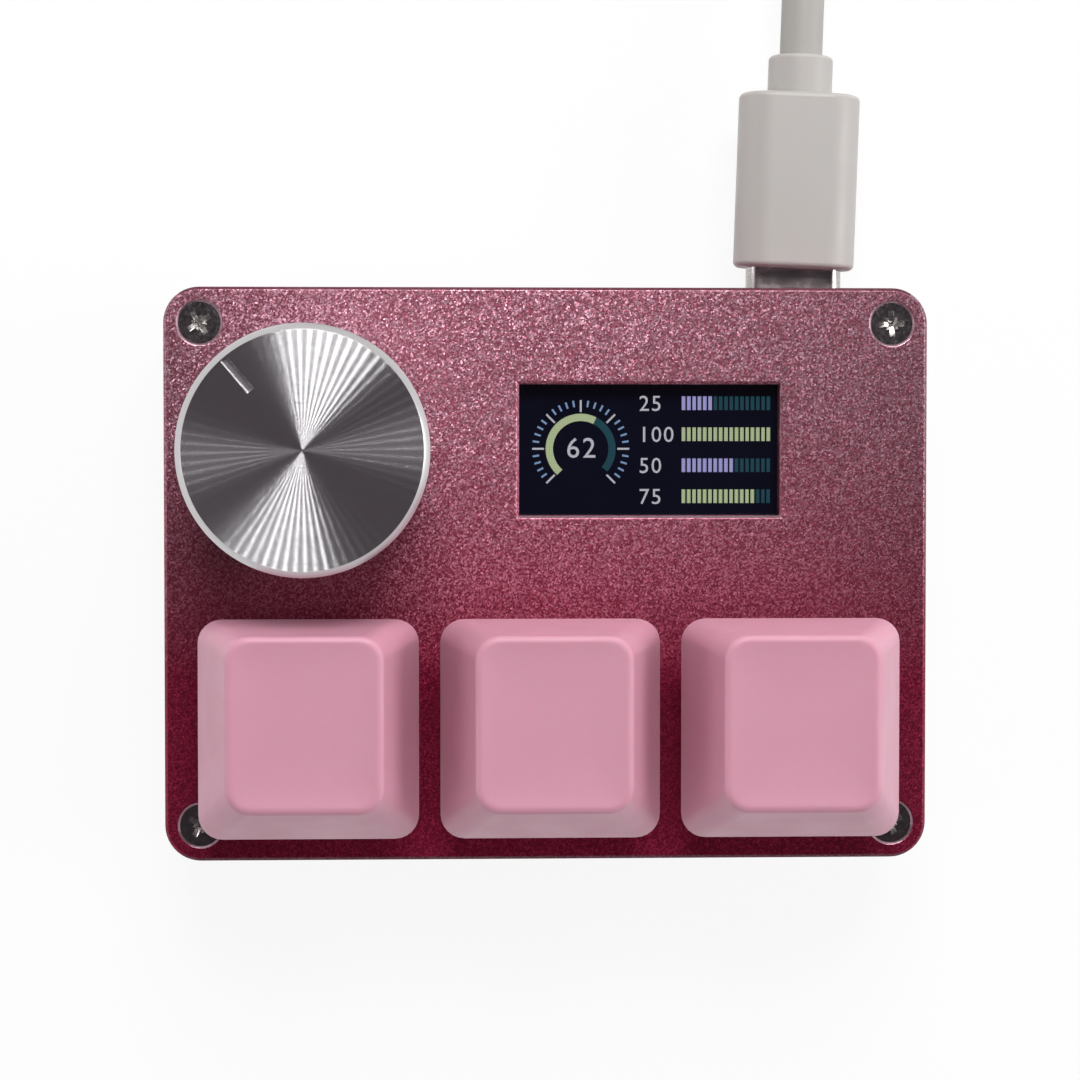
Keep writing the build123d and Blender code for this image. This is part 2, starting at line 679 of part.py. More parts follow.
def encoder_shaft():
    """Shaft with drive flats through the rotor, a round middle and a flat for the knob."""
    shaft = two_flats(SHAFT_R, DRIVE_HALF, shaft_low, shaft_shoulder)
    shaft += rod(SHAFT_R, shaft_shoulder, shaft_top)
    shaft = chamfer(shaft.edges().group_by(Axis.Z)[-1], SHAFT_EDGE)
    return shaft - beyond_flat(0, shaft_top)


def beyond_flat(play, high):
    """What the flat takes off the shaft or leaves in the bore, on the side away from the pointer."""
    edge = SHAFT_FLAT - SHAFT_R - play
    cut = Pos(edge - SHAFT_R, 0, 0) * block(2 * SHAFT_R, 3 * SHAFT_R, shaft_top - FLAT_LENGTH, high)
    return Rot(0, 0, POINTER_ANGLE) * cut


def press_dome():
    """Snap dome under the shaft."""
    outer = (DOME_R**2 + dome_height**2) / (2 * dome_height)
    ball = Pos(0, 0, dome_top - outer) * Sphere(outer)
    inside = Pos(0, 0, dome_top - outer) * Sphere(outer - DOME_SHEET)
    return (ball - inside) & rod(DOME_R, WAFER_WEB, dome_top)


def knob():
    """Turned knob with a bright chamfer, an engraved pointer and a hub bored for the shaft."""
    body = rod(KNOB_R, knob_low, knob_top)
    body = chamfer(body.edges().group_by(Axis.Z)[-1], KNOB_RIM)
    body = chamfer(body.edges().group_by(Axis.Z)[0], KNOB_FOOT)
    body -= rod(KNOB_RECESS_R, knob_low, neck_end + knob_over)
    bore_top = shaft_top + KNOB_BORE_SPARE
    bore = rod(SHAFT_R + KNOB_BORE_PLAY, neck_end, bore_top)
    body -= bore - beyond_flat(KNOB_BORE_PLAY, bore_top)
    groove = block(2 * POINTER_LENGTH, POINTER_WIDTH, knob_top - POINTER_DEPTH, knob_top)
    body -= Rot(0, 0, POINTER_ANGLE) * Pos(KNOB_R, 0, 0) * groove
    return body - grub_hole()


def grub_axis():
    """From the flat of the shaft outwards, opposite the pointer."""
    return Rot(0, 0, POINTER_ANGLE + 180) * Pos(0, 0, knob_low + GRUB_RISE) * Rot(0, 90, 0)


def grub_hole():
    start = SHAFT_R - SHAFT_FLAT
    return grub_axis() * rod(GRUB_R + THREAD_PLAY, start, KNOB_R)


def knob_grub_screw():
    start = SHAFT_R - SHAFT_FLAT + THREAD_PLAY
    screw = rod(GRUB_R, start, start + GRUB_LENGTH)
    key = extrude(
        Plane.XY.offset(start + GRUB_LENGTH - GRUB_R) * RegularPolygon(GRUB_HEX, 6), GRUB_R
    )
    return grub_axis() * (screw - key)


# ---------------------------------------------------------------- screen
def on_screen(shape):
    return Pos(panel_x, screen_y, 0) * shape


def window_gasket():
    width, height = WINDOW_WIDTH + 2 * GASKET_EDGE, WINDOW_HEIGHT + 2 * GASKET_EDGE
    frame = block(width, height, panel_top, plate_under)
    frame -= block(WINDOW_WIDTH, WINDOW_HEIGHT, panel_top, plate_under)
    return Pos(SCREEN_X, screen_y, 0) * frame


def lcd_backlight():
    tray = block(
        PANEL_WIDTH + 2 * BACKLIGHT_EDGE, PANEL_DEPTH + 2 * BACKLIGHT_EDGE, backlight_low, panel_low
    )
    return on_screen(tray - block_for_ribbon())


def block_for_ribbon():
    """Notch in the backlight's end where the ribbon leaves the panel."""
    return Pos(PANEL_WIDTH / 2, 0, 0) * block(
        2 * RIBBON_OUT, RIBBON_WIDTH + 2 * RIBBON_PLAY, panel_low - 2 * RIBBON_THICK, panel_low
    )


def lcd_flex():
    """Ribbon that leaves the panel's end, turns under it and lies on the board."""
    upper = panel_low - RIBBON_THICK
    bend = (upper + RIBBON_THICK - board_top) / 2
    start = PANEL_WIDTH / 2 - RIBBON_OUT
    turn_x = PANEL_WIDTH / 2 + BACKLIGHT_EDGE + RIBBON_OUT
    ring = Plane.XZ * (Circle(bend) - Circle(bend - RIBBON_THICK))
    half = extrude(ring, RIBBON_WIDTH / 2, both=True) & Pos(bend, 0, 0) * Box(
        2 * bend, RIBBON_WIDTH, 2 * bend
    )
    ribbon = Pos(turn_x, 0, board_top + bend) * half
    out = block(turn_x - start, RIBBON_WIDTH, upper, upper + RIBBON_THICK)
    ribbon += Pos((turn_x + start) / 2, 0, 0) * out
    tail = block(RIBBON_TAIL, RIBBON_WIDTH, board_top, board_top + RIBBON_THICK)
    ribbon += Pos(turn_x - RIBBON_TAIL / 2, 0, 0) * tail
    return on_screen(ribbon)


# ---------------------------------------------------------------- plug of the lead
def nose(sheet, start, end):
    """Bar of the nose's section, smaller all round by some sheet."""
    return slot_along_y(NOSE_WIDTH - 2 * sheet, NOSE_HEIGHT - 2 * sheet, start, end)


def plug_shell():
    return in_port(nose(0, nose_tip, nose_end) - nose(NOSE_SHEET, nose_tip, nose_end))


def plug_insulator():
    """Plastic inside the nose, with the slot that the socket's tongue enters."""
    core = nose(NOSE_SHEET, nose_tip + NOSE_SHEET, nose_end)
    core -= bar_along_y(
        TONGUE_WIDTH + 2 * SLOT_PLAY, TONGUE_THICK + 2 * SLOT_PLAY, SLOT_CORNER, nose_tip, mouth_y
    )
    return in_port(core)


def plug_overmould():
    """White moulding round the nose's root, ending in a short round collar."""
    body = bar_along_y(PLUG_WIDTH, PLUG_THICK, PLUG_CORNER, 0, PLUG_LENGTH)
    ends = body.edges().group_by(Axis.Y)
    body = chamfer(ends[0] + ends[-1], PLUG_EDGE)
    body += Rot(-90, 0, 0) * rod(COLLAR_R, PLUG_LENGTH / 2, collar_end)
    body = Pos(port_x, plug_front, port_z) * Rot(0, 0, -PLUG_LEAN) * body
    return body - in_port(nose(0, back_face, nose_end))


# ---------------------------------------------------------------- lead
LEAD_MIDDLE = [(0.7, 14.6, 4.9), (1.3, 22.2, 3.4), (2.2, 29.9, 2.4), (3.6, 37.6, 2.25)]   # from the exit
TAIL_MIDDLE = [                                     # from the coil's centre
    (25.5, 8.0, 5.9),
    (24.7, 15.9, 4.9),
    (21.4, 23.2, 3.5),
    (16.0, 29.2, 2.5),
    (9.1, 33.4, 2.9),
]
LEAD_POINTS = [
    (exit_x, exit_y, port_z),
    (exit_x + STRAIGHT_RUN * math.sin(lean), exit_y + STRAIGHT_RUN * math.cos(lean), port_z),
    *[(exit_x + x, exit_y + y, z) for x, y, z in LEAD_MIDDLE],
    (join_x, coil_y + JOIN_LAP, coil_first_z),
]
TAIL_POINTS = [
    (join_x, coil_y, coil_last_z),
    *[(coil_x + x, coil_y + y, z) for x, y, z in TAIL_MIDDLE],
    (host_x + STRAIGHT_RUN, host_y, host_z),
    (host_x, host_y, host_z),
]


def bend_radii(points):
    """As large a bend at each corner as its two runs allow."""
    radii = []
    for before, here, after in zip(points, points[1:], points[2:]):
        run_in, run_out = Vector(*here) - Vector(*before), Vector(*after) - Vector(*here)
        half_turn = math.radians(run_in.get_angle(run_out)) / 2
        radii.append(0.45 * min(run_in.length, run_out.length) / math.tan(half_turn))
    return radii


def cord_tube(name, points):
    """Round cord along straight runs joined by tangent arcs."""
    radii = bend_radii(points)
    path = FilletPolyline(*points, radius=radii)
    section = Plane(origin=path @ 0, z_dir=path % 0) * Circle(CORD_R)
    tube = sweep(section, path=path)
    ideal = math.pi * CORD_R**2 * path.length
    print(f"{name}: length {path.length:.1f} mm, radii {[round(r, 1) for r in radii]}")
    print(f"{name}: volume {tube.volume:.1f}, section x length {ideal:.1f} mm3")
    return tube


def coil_section(grow):
    """Outer shape of the bundle of turns, made larger all round by grow."""
    width, height = COIL_WIDE * CORD_D, COIL_HIGH * CORD_D
    outline = Rectangle(width + 2 * grow, height + 2 * grow)
    section = chamfer(outline.vertices(), COIL_EDGE + grow)
    return Plane.XZ * Pos(COIL_RADIUS, coil_low + height / 2) * section


def cord_coil():
    return Pos(coil_x, coil_y, 0) * revolve(coil_section(0), Axis.Z)


def coil_tie():
    """Band of one width round the bundle of turns."""
    band = revolve(coil_section(TIE_THICK), Axis.Z) - revolve(coil_section(0), Axis.Z)
    reach = COIL_RADIUS + COIL_WIDE * CORD_D
    strip = Pos(reach / 2, 0, 0) * block(reach, TIE_WIDTH, 0, coil_low + (COIL_HIGH + 1) * CORD_D)
    return Pos(coil_x, coil_y, 0) * Rot(0, 0, TIE_ANGLE) * (band & strip)


def host_at(shape):
    """Places a piece modelled along +Y so that it points to -X behind the coil."""
    return Pos(host_x, host_y, host_z) * Rot(0, 0, 90) * shape


def host_plug_overmould():
    start = COLLAR_LENGTH
    end = start + HOST_LENGTH
    body = bar_along_y(HOST_WIDTH, HOST_THICK, HOST_CORNER, start, end)
    ends = body.edges().group_by(Axis.Y)
    body = chamfer(ends[0] + ends[-1], PLUG_EDGE)
    body += Rot(-90, 0, 0) * rod(COLLAR_R, 0, start + HOST_LENGTH / 2)
    return host_at(body - host_shell_bar())


def host_shell_bar():
    """Outside of the shell, from its root in the moulding to its open end."""
    return bar_along_y(HOST_SHELL_WIDTH, HOST_SHELL_HEIGHT, HOST_SHELL_CORNER, *host_shell_span())


def host_shell_span():
    end = COLLAR_LENGTH + HOST_LENGTH
    return end - HOST_SHELL_ROOT, end + HOST_SHELL_OUT


def host_plug_shell():
    start, end = host_shell_span()
    inner_width, inner_height = HOST_SHELL_WIDTH - 2 * HOST_SHEET, HOST_SHELL_HEIGHT - 2 * HOST_SHEET
    shell = host_shell_bar()
    shell -= bar_along_y(inner_width, inner_height, HOST_SHELL_CORNER - HOST_SHEET, start, end)
    for side in (-1, 1):
        window = Pos(side * HOST_SHELL_WIDTH / 4, end - HOST_SHELL_OUT / 2, 0)
        shell -= window * Box(HOST_WINDOW, HOST_WINDOW, 2 * HOST_SHELL_HEIGHT)
    return host_at(shell)


def host_plug_insulator():
    start, end = host_shell_span()
    floor = -HOST_SHELL_HEIGHT / 2 + HOST_SHEET + HOST_PLAY
    inner_width = HOST_SHELL_WIDTH - 2 * (HOST_SHEET + HOST_PLAY)
    length = end - start - HOST_SHEET
    bar = Pos(0, start + length / 2, 0) * block(inner_width, length, floor, floor + HOST_TONGUE)
    rear = Pos(0, start + HOST_SHELL_ROOT / 2, 0) * block(
        inner_width, HOST_SHELL_ROOT, floor, -floor
    )
    return host_at(bar + rear)


# ---------------------------------------------------------------- every piece by its node name
def build_pieces():
    pieces = {
        "top_plate": top_plate(),
        "case_tray": case_tray(),
        "plate_screws": plate_screws(),
        "rubber_feet": rubber_feet(),
        "circuit_board": circuit_board(),
        "controller_chip": controller_chip(),
        "flash_chip": Pos(*FLASH_AT, 0) * under_board(*FLASH_SIZE),
        "crystal": Pos(*CRYSTAL_AT, 0) * under_board(*CRYSTAL_SIZE),
        "voltage_regulator": Pos(REGULATOR_X, back_face - REGULATOR_INSET, 0)
        * under_board(*REGULATOR_SIZE),
        "capacitors": capacitors(),
        "usb_socket_shell": usb_socket_shell(),
        "usb_socket_tongue": usb_socket_tongue(),
        "window_gasket": window_gasket(),
        "lcd_panel": on_screen(block(PANEL_WIDTH, PANEL_DEPTH, panel_low, panel_top)),
        "lcd_backlight": lcd_backlight(),
        "lcd_flex": lcd_flex(),
        "display_pad": Pos(SCREEN_X - PANEL_SHIFT, screen_y, 0)
        * block(PAD_WIDTH, PAD_DEPTH, board_top, backlight_low),
        "plug_shell": plug_shell(),
        "plug_insulator": plug_insulator(),
        "plug_overmould": plug_overmould(),
        "cord_lead": cord_tube("cord_lead", LEAD_POINTS),
        "cord_coil": cord_coil(),
        "cord_tail": cord_tube("cord_tail", TAIL_POINTS),
        "coil_tie": coil_tie(),
        "host_plug_overmould": host_plug_overmould(),
        "host_plug_shell": host_plug_shell(),
        "host_plug_insulator": host_plug_insulator(),
    }
    on_plate = {
        "switch_bottom": switch_bottom(),
        "switch_top": switch_top(),
        "switch_stem": switch_stem(),
        "switch_spring": switch_spring(),
        "keycap": keycap(),
    }
    contacts = switch_contacts()
    pieces["switch_contacts"] = []
    for name, (x, y) in zip(KEY_NAMES, KEY_PLACES):
        for piece, shape in on_plate.items():
            pieces[f"{piece}_{name}"] = Pos(x, y, plate_top) * shape
        pieces["switch_contacts"] += [Pos(x, y, plate_top) * leaf for leaf in contacts]
    on_encoder = {
        "encoder_base": encoder_base(),
        "encoder_housing": encoder_housing(),
        "encoder_bracket": encoder_bracket(),
        "encoder_rotor": encoder_rotor(),
        "detent_spring": detent_spring(),
        "encoder_shaft": encoder_shaft(),
        "press_dome": press_dome(),
        "knob": knob(),
        "knob_grub_screw": knob_grub_screw(),
    }
    for piece, shape in on_encoder.items():
        pieces[piece] = Pos(KNOB_X, knob_y, board_top) * shape
    pieces["encoder_terminals"] = [
        Pos(KNOB_X, knob_y, board_top) * pin for pin in encoder_terminals()
    ]
    return pieces


def main():
    os.makedirs("parts", exist_ok=True)
    for name, shape in build_pieces().items():
        solids = shape if isinstance(shape, list) else [shape]
        whole = Compound(children=[part for part in solids]) if len(solids) > 1 else solids[0]
        export_step(whole, f"parts/{name}.step")


main()
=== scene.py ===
"""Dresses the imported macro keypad: three sprung keys, a knob, a small screen and a USB lead.

Fields are in millimetres and meshes in metres. +X is right, +Y is back and +Z is up.
"""

import json
import logging
import math
from collections.abc import Callable, Sequence
from dataclasses import dataclass
from enum import Enum

import bmesh
import bpy
from mathutils import Matrix, Vector


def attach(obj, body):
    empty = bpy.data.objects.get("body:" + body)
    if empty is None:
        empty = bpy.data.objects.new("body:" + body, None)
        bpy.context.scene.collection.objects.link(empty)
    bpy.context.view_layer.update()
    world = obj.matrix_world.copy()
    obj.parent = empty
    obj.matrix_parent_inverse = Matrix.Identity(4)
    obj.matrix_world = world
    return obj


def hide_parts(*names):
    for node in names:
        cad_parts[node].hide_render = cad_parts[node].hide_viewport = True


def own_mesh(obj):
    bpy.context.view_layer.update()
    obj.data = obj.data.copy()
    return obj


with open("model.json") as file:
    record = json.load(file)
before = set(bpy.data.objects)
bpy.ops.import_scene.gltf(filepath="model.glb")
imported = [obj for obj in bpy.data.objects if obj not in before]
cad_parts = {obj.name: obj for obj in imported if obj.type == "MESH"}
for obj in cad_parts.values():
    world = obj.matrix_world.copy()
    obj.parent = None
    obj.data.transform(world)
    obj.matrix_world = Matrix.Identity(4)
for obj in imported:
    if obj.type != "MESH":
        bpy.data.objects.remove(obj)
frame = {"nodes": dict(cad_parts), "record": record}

LOG = logging.getLogger("keypad")
MM = 0.001
Point = tuple[float, float, float]
Colour = tuple[float, float, float]
Socket = bpy.types.NodeSocket

SLOTS = {entry["node"]: entry["material_slot"] for entry in frame["record"]["subparts"]}
BODIES = {node: body for body, nodes in frame["record"]["behaviour"]["bodies"].items() for node in nodes}

SIDES = ("left", "middle", "right")
KNOB_AXIS = (-19.8, 10.35, 0.0)
SCREW_PLACES = ((-29, 21), (29, 21), (-29, -21), (29, -21))


def metres(point: Sequence[float]) -> Vector:
    """Turns a point in millimetres into one in metres."""
    return Vector(point) * MM


# ---------------------------------------------------------------- bench


class Bench:
    """Modelling steps on one object at a time, with every size in millimetres."""

    @staticmethod
    def clear() -> None:
        """Leaves nothing selected, in object mode."""
        if bpy.context.object and bpy.context.object.mode != "OBJECT":
            bpy.ops.object.mode_set(mode="OBJECT")
        bpy.ops.object.select_all(action="DESELECT")

    @staticmethod
    def take(piece: bpy.types.Object) -> None:
        """Selects one object alone and makes it active."""
        Bench.clear()
        piece.select_set(True)
        bpy.context.view_layer.objects.active = piece

    @staticmethod
    def named(name: str) -> bpy.types.Object:
        """Names the active object and puts its place into its mesh."""
        piece = bpy.context.object
        piece.name = name
        piece.data.name = name
        Bench.take(piece)
        bpy.ops.object.transform_apply(location=True, rotation=True, scale=True)
        return piece

    @staticmethod
    def box(name: str, size: Sequence[float], centre: Sequence[float]) -> bpy.types.Object:
        """Adds a box.

        Args:
            name: Name of the object.
            size: Width, depth and height.
            centre: Middle of the box.

        Returns:
            The object, at the origin, with its place in its mesh.
        """
        Bench.clear()
        bpy.ops.mesh.primitive_cube_add(size=1, location=metres(centre), scale=metres(size))
        return Bench.named(name)

    @staticmethod
    def drum(
        name: str,
        radius: float,
        ends: Sequence[Sequence[float]],
        sides: int,
        far_radius: float | None = None,
    ) -> bpy.types.Object:
        """Adds a cylinder or a cone between two points.

        Args:
            name: Name of the object.
            radius: Radius at the first end.
            ends: The two ends of its axis.
            sides: How many flats stand for the round.
            far_radius: Radius at the second end, where it differs.

        Returns:
            The object, with its place in its mesh.
        """
        low, high = metres(ends[0]), metres(ends[1])
        turn = (high - low).to_track_quat("Z", "Y").to_euler()
        Bench.clear()
        bpy.ops.mesh.primitive_cone_add(
            vertices=sides,
            radius1=radius * MM,
            radius2=(radius if far_radius is None else far_radius) * MM,
            depth=(high - low).length,
            location=(low + high) / 2,
            rotation=turn,
        )
        return Bench.named(name)

    @staticmethod
    def opened(piece: bpy.types.Object, kind: str) -> bmesh.types.BMesh:
        """Opens a piece's mesh with nothing selected, to pick from its edges (EDGE) or its faces (FACE)."""
        Bench.take(piece)
        bpy.ops.object.mode_set(mode="EDIT")
        bpy.ops.mesh.select_mode(type=kind)
        bpy.ops.mesh.select_all(action="DESELECT")
        return bmesh.from_edit_mesh(piece.data)

    @staticmethod
    def edges(piece: bpy.types.Object, wanted: Callable[[Vector, Vector], bool]) -> None:
        """Selects the edges whose two ends answer a question about their places in millimetres."""
        for edge in Bench.opened(piece, "EDGE").edges:
            if wanted(*(v.co / MM for v in edge.verts)):
                edge.select_set(True)
        bmesh.update_edit_mesh(piece.data)

    @staticmethod
    def faces(piece: bpy.types.Object, wanted: Callable[[Vector, Vector], bool]) -> None:
        """Selects the faces whose middle, in millimetres, and normal answer a question."""
        for face in Bench.opened(piece, "FACE").faces:
            if wanted(face.calc_center_median() / MM, face.normal):
                face.select_set(True)
        bmesh.update_edit_mesh(piece.data)

    @staticmethod
    def round_selected(width: float, segments: int) -> None:
        """Rounds the selected edges and leaves edit mode."""
        settings = {"segments": segments, "profile": 0.5, "affect": "EDGES", "clamp_overlap": True}
        bpy.ops.mesh.bevel(offset=width * MM, **settings)
        bpy.ops.object.mode_set(mode="OBJECT")

    @staticmethod
    def apply(piece: bpy.types.Object, kind: str, **settings: object) -> bpy.types.Object:
        """Puts a modifier on a piece and applies it."""
        Bench.take(piece)
        modifier = piece.modifiers.new("step", kind)
        for name, value in settings.items():
            setattr(modifier, name, value)
        bpy.ops.object.modifier_apply(modifier=modifier.name)
        return piece

    @staticmethod
    def combine(piece: bpy.types.Object, operation: str, others: Sequence[bpy.types.Object]) -> None:
        """Works other shapes into a piece one by one, and throws them away."""
        for other in others:
            Bench.apply(piece, "BOOLEAN", operation=operation, object=other, solver="EXACT")
            bpy.data.objects.remove(other)

    @staticmethod
    def cut(piece: bpy.types.Object, *tools: bpy.types.Object) -> None:
        """Takes the tools' shapes out of a piece."""
        Bench.combine(piece, "DIFFERENCE", tools)

    @staticmethod
    def fuse(piece: bpy.types.Object, *others: bpy.types.Object) -> None:
        """Unites other shapes with a piece."""
        Bench.combine(piece, "UNION", others)

    @staticmethod
    def join(name: str, pieces: Sequence[bpy.types.Object]) -> bpy.types.Object:
        """Makes one object of several."""
        Bench.clear()
        for piece in pieces:
            piece.select_set(True)
        bpy.context.view_layer.objects.active = pieces[0]
        if len(pieces) > 1:
            bpy.ops.object.join()
        return Bench.named(name)

    @staticmethod
    def smooth(piece: bpy.types.Object, edge: float, angle: float = 35.0) -> bpy.types.Object:
        """Softens a piece's sharp edges and shades the rest smooth.

        Args:
            piece: The piece to finish.
            edge: Width of the small round on the sharp edges, or 0 for none.
            angle: Bend in degrees from which an edge counts as sharp.

        Returns:
            The same piece.
        """
        if edge:
            Bench.apply(
                piece,
                "BEVEL",
                width=edge * MM,
                segments=2,
                limit_method="ANGLE",
                angle_limit=math.radians(angle),
                use_clamp_overlap=True,
            )
        Bench.take(piece)
        bpy.ops.object.shade_smooth_by_angle(angle=math.radians(angle))
        return Bench.apply(piece, "WEIGHTED_NORMAL", keep_sharp=True)

    @staticmethod
    def moved(piece: bpy.types.Object, name: str, step: Sequence[float]) -> bpy.types.Object:
        """Copies a piece, with a mesh of its own, a step away."""
        Bench.take(piece)
        bpy.ops.object.duplicate()
        copy = bpy.context.object
        copy.location = metres(step)
        return Bench.named(name)

    @staticmethod
    def turned(piece: bpy.types.Object, degrees: float, centre: Sequence[float]) -> bpy.types.Object:
        """Turns a piece's mesh about an upright axis through a point."""
        place = Matrix.Translation(metres(centre))
        piece.data.transform(place @ Matrix.Rotation(math.radians(degrees), 4, "Z") @ place.inverted())
        return piece

    @staticmethod
    def copy_of(node: str, name: str, edge: float) -> bpy.types.Object:
        """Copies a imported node's mesh, merges its loose triangles and softens its edges.

        Args:
            node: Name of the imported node.
            name: Name of the new piece.
            edge: Width of the small round on its sharp edges, or 0 for none.

        Returns:
            The new piece.
        """
        source = frame["nodes"][node]
        piece = bpy.data.objects.new(name, source.data.copy())
        piece.data.materials.clear()
        bpy.context.scene.collection.objects.link(piece)
        Bench.take(piece)
        if piece.data.has_custom_normals:
            bpy.ops.mesh.customdata_custom_splitnormals_clear()
        bpy.ops.object.mode_set(mode="EDIT")
        bpy.ops.mesh.select_all(action="SELECT")
        bpy.ops.mesh.remove_doubles(threshold=0.002 * MM)
        bpy.ops.mesh.dissolve_limited(angle_limit=math.radians(0.5))
        bpy.ops.object.mode_set(mode="OBJECT")
        return Bench.smooth(piece, edge)


# ---------------------------------------------------------------- node trees


class Graph:
    """Adds nodes to a tree, and links or sets their sockets."""

    def __init__(self, tree: bpy.types.NodeTree) -> None:
        """Starts on a tree."""
        self.tree = tree

    @classmethod
    def emptied(cls, owner: bpy.types.Material | bpy.types.World) -> "Graph":
        """Switches the nodes of a material or world on, clears them and starts on its tree."""
        owner.use_nodes = True
        owner.node_tree.nodes.clear()
        return cls(owner.node_tree)

    def feed(self, socket: Socket, value: object) -> None:
        """Links a socket to another one, or sets its value."""
        if isinstance(value, Socket):
            self.tree.links.new(value, socket)
        elif socket.type == "RGBA" and len(value) == 3:
            socket.default_value = (*value, 1.0)
        else:
            socket.default_value = value

    def node(self, kind: str, inputs: dict | None = None, **settings: object) -> bpy.types.Node:
        """Adds a node.

        Args:
            kind: Blender's name for the node.
            inputs: Values or sockets for its inputs, by name or place.
            **settings: Its other settings.

        Returns:
            The node.
        """
        made = self.tree.nodes.new(kind)
        for name, value in settings.items():
            setattr(made, name, value)
        for name, value in (inputs or {}).items():
            self.feed(made.inputs[name], value)
        return made

    def math(self, operation: str, a: object, b: object = 0.0, clamp: bool = False) -> Socket:
        """Adds one sum and gives its result."""
        return self.node("ShaderNodeMath", {0: a, 1: b}, operation=operation, use_clamp=clamp).outputs[0]

    def vector(self, operation: str, a: object, b: object = (0.0, 0.0, 0.0)) -> Socket:
        """Adds one sum on vectors and gives the vector that comes out."""
        return self.node("ShaderNodeVectorMath", {0: a, 1: b}, operation=operation).outputs[0]

    def scaled(self, vector: object, factor: object) -> Socket:
        """Makes a vector longer or shorter by a factor."""
        return self.node("ShaderNodeVectorMath", {0: vector, "Scale": factor}, operation="SCALE").outputs[0]

    def axes(self, vector: object) -> bpy.types.NodeOutputs:
        """Splits a vector into its parts, which go by the names X, Y and Z."""
        return self.node("ShaderNodeSeparateXYZ", {0: vector}).outputs

    def upright(self) -> Socket:
        """Gives the surface's own normal."""
        return self.node("ShaderNodeNewGeometry").outputs["Normal"]

    def mix(self, share: object, a: object, b: object) -> Socket:
        """Mixes two colours."""
        made = self.node("ShaderNodeMix", data_type="RGBA")
        for place, value in ((0, share), (6, a), (7, b)):
            self.feed(made.inputs[place], value)
        return made.outputs[2]

    def between(
        self, value: object, low: float, high: float, out_low: object = 0.0, out_high: object = 1.0
    ) -> Socket:
        """Stretches the span from low to high over the span from out_low to out_high, and clamps it."""
        inputs = {"Value": value, "From Min": low, "From Max": high, "To Min": out_low, "To Max": out_high}
        return self.node("ShaderNodeMapRange", inputs, clamp=True).outputs["Result"]

    def noise(self, vector: object, cell: object, detail: float = 2.0, rough: float = 0.5) -> Socket:
        """Adds a noise whose features are about one cell wide, in millimetres."""
        scale = 1.0 / cell if isinstance(cell, float) else self.math("DIVIDE", 1.0, cell)
        inputs = {"Vector": vector, "Scale": scale, "Detail": detail, "Roughness": rough}
        return self.node("ShaderNodeTexNoise", inputs).outputs["Fac"]

    def millimetres(self) -> Socket:
        """Gives the object's own coordinates in millimetres."""
        return self.scaled(self.node("ShaderNodeTexCoord").outputs["Object"], 1 / MM)


class SharedGroup:
    """One effect that several materials share: a node group, built when it is first asked for."""

    title = ""
    inputs: dict[str, tuple[str, object]] = {}
    outputs: dict[str, str] = {}

    @classmethod
    def tree(cls) -> bpy.types.NodeTree:
        """Gives the group, and builds it if it isn't there yet."""
        found = bpy.data.node_groups.get(cls.title)
        if found:
            return found
        made = bpy.data.node_groups.new(cls.title, "ShaderNodeTree")
        for name, (kind, value) in cls.inputs.items():
            socket = made.interface.new_socket(name=name, in_out="INPUT", socket_type=kind)
            if value is not None:
                socket.default_value = value
        for name, kind in cls.outputs.items():
            made.interface.new_socket(name=name, in_out="OUTPUT", socket_type=kind)
        graph = Graph(made)
        cls.fill(graph, graph.node("NodeGroupInput"), graph.node("NodeGroupOutput"))
        return made

    @classmethod
    def fill(cls, graph: Graph, given: bpy.types.Node, out: bpy.types.Node) -> None:
        """Adds the group's nodes. Each effect has its own."""
        raise NotImplementedError

    @classmethod
    def place(cls, graph: Graph, **inputs: object) -> bpy.types.Node:
        """Puts the group into a material with that material's values."""
        return graph.node("ShaderNodeGroup", inputs, node_tree=cls.tree())


class Grain(SharedGroup):
    """Fine grain, with broad patches under it, a sparse sparkle and a tilt of its own for each grain."""

    title = "grain"
    inputs = {
        "Vector": ("NodeSocketVector", None),
        "Cell": ("NodeSocketFloat", 0.2),
        "Contrast": ("NodeSocketFloat", 0.15),
        "Patch": ("NodeSocketFloat", 8.0),
        "Tilt": ("NodeSocketFloat", 0.0),
    }
    outputs = {
        "Fine": "NodeSocketFloat",
        "Broad": "NodeSocketFloat",
        "Sparkle": "NodeSocketFloat",
        "Facet": "NodeSocketVector",
    }
    sparkle = (0.3, 0.95)

    @classmethod
    def fill(cls, graph: Graph, given: bpy.types.Node, out: bpy.types.Node) -> None:
        """Adds the noises and their limits."""
        place, cell = given.outputs["Vector"], given.outputs["Cell"]
        low = graph.math("SUBTRACT", 0.5, given.outputs["Contrast"])
        high = graph.math("ADD", 0.5, given.outputs["Contrast"])
        graph.feed(out.inputs["Fine"], graph.between(graph.noise(place, cell, 2.0, 0.6), low, high))
        graph.feed(out.inputs["Broad"], graph.noise(place, given.outputs["Patch"], 3.0, 0.5))
        cells = {"Vector": place, "Scale": graph.math("DIVIDE", 1.0, cell)}
        colour = graph.node("ShaderNodeTexVoronoi", cells).outputs["Color"]
        shade = graph.node("ShaderNodeSeparateColor", {0: colour}).outputs[0]
        graph.feed(out.inputs["Sparkle"], graph.between(shade, *cls.sparkle))
        lean = graph.scaled(graph.vector("SUBTRACT", colour, (0.5, 0.5, 0.5)), given.outputs["Tilt"])
        facet = graph.vector("ADD", graph.upright(), lean)
        graph.feed(out.inputs["Facet"], graph.vector("NORMALIZE", facet))


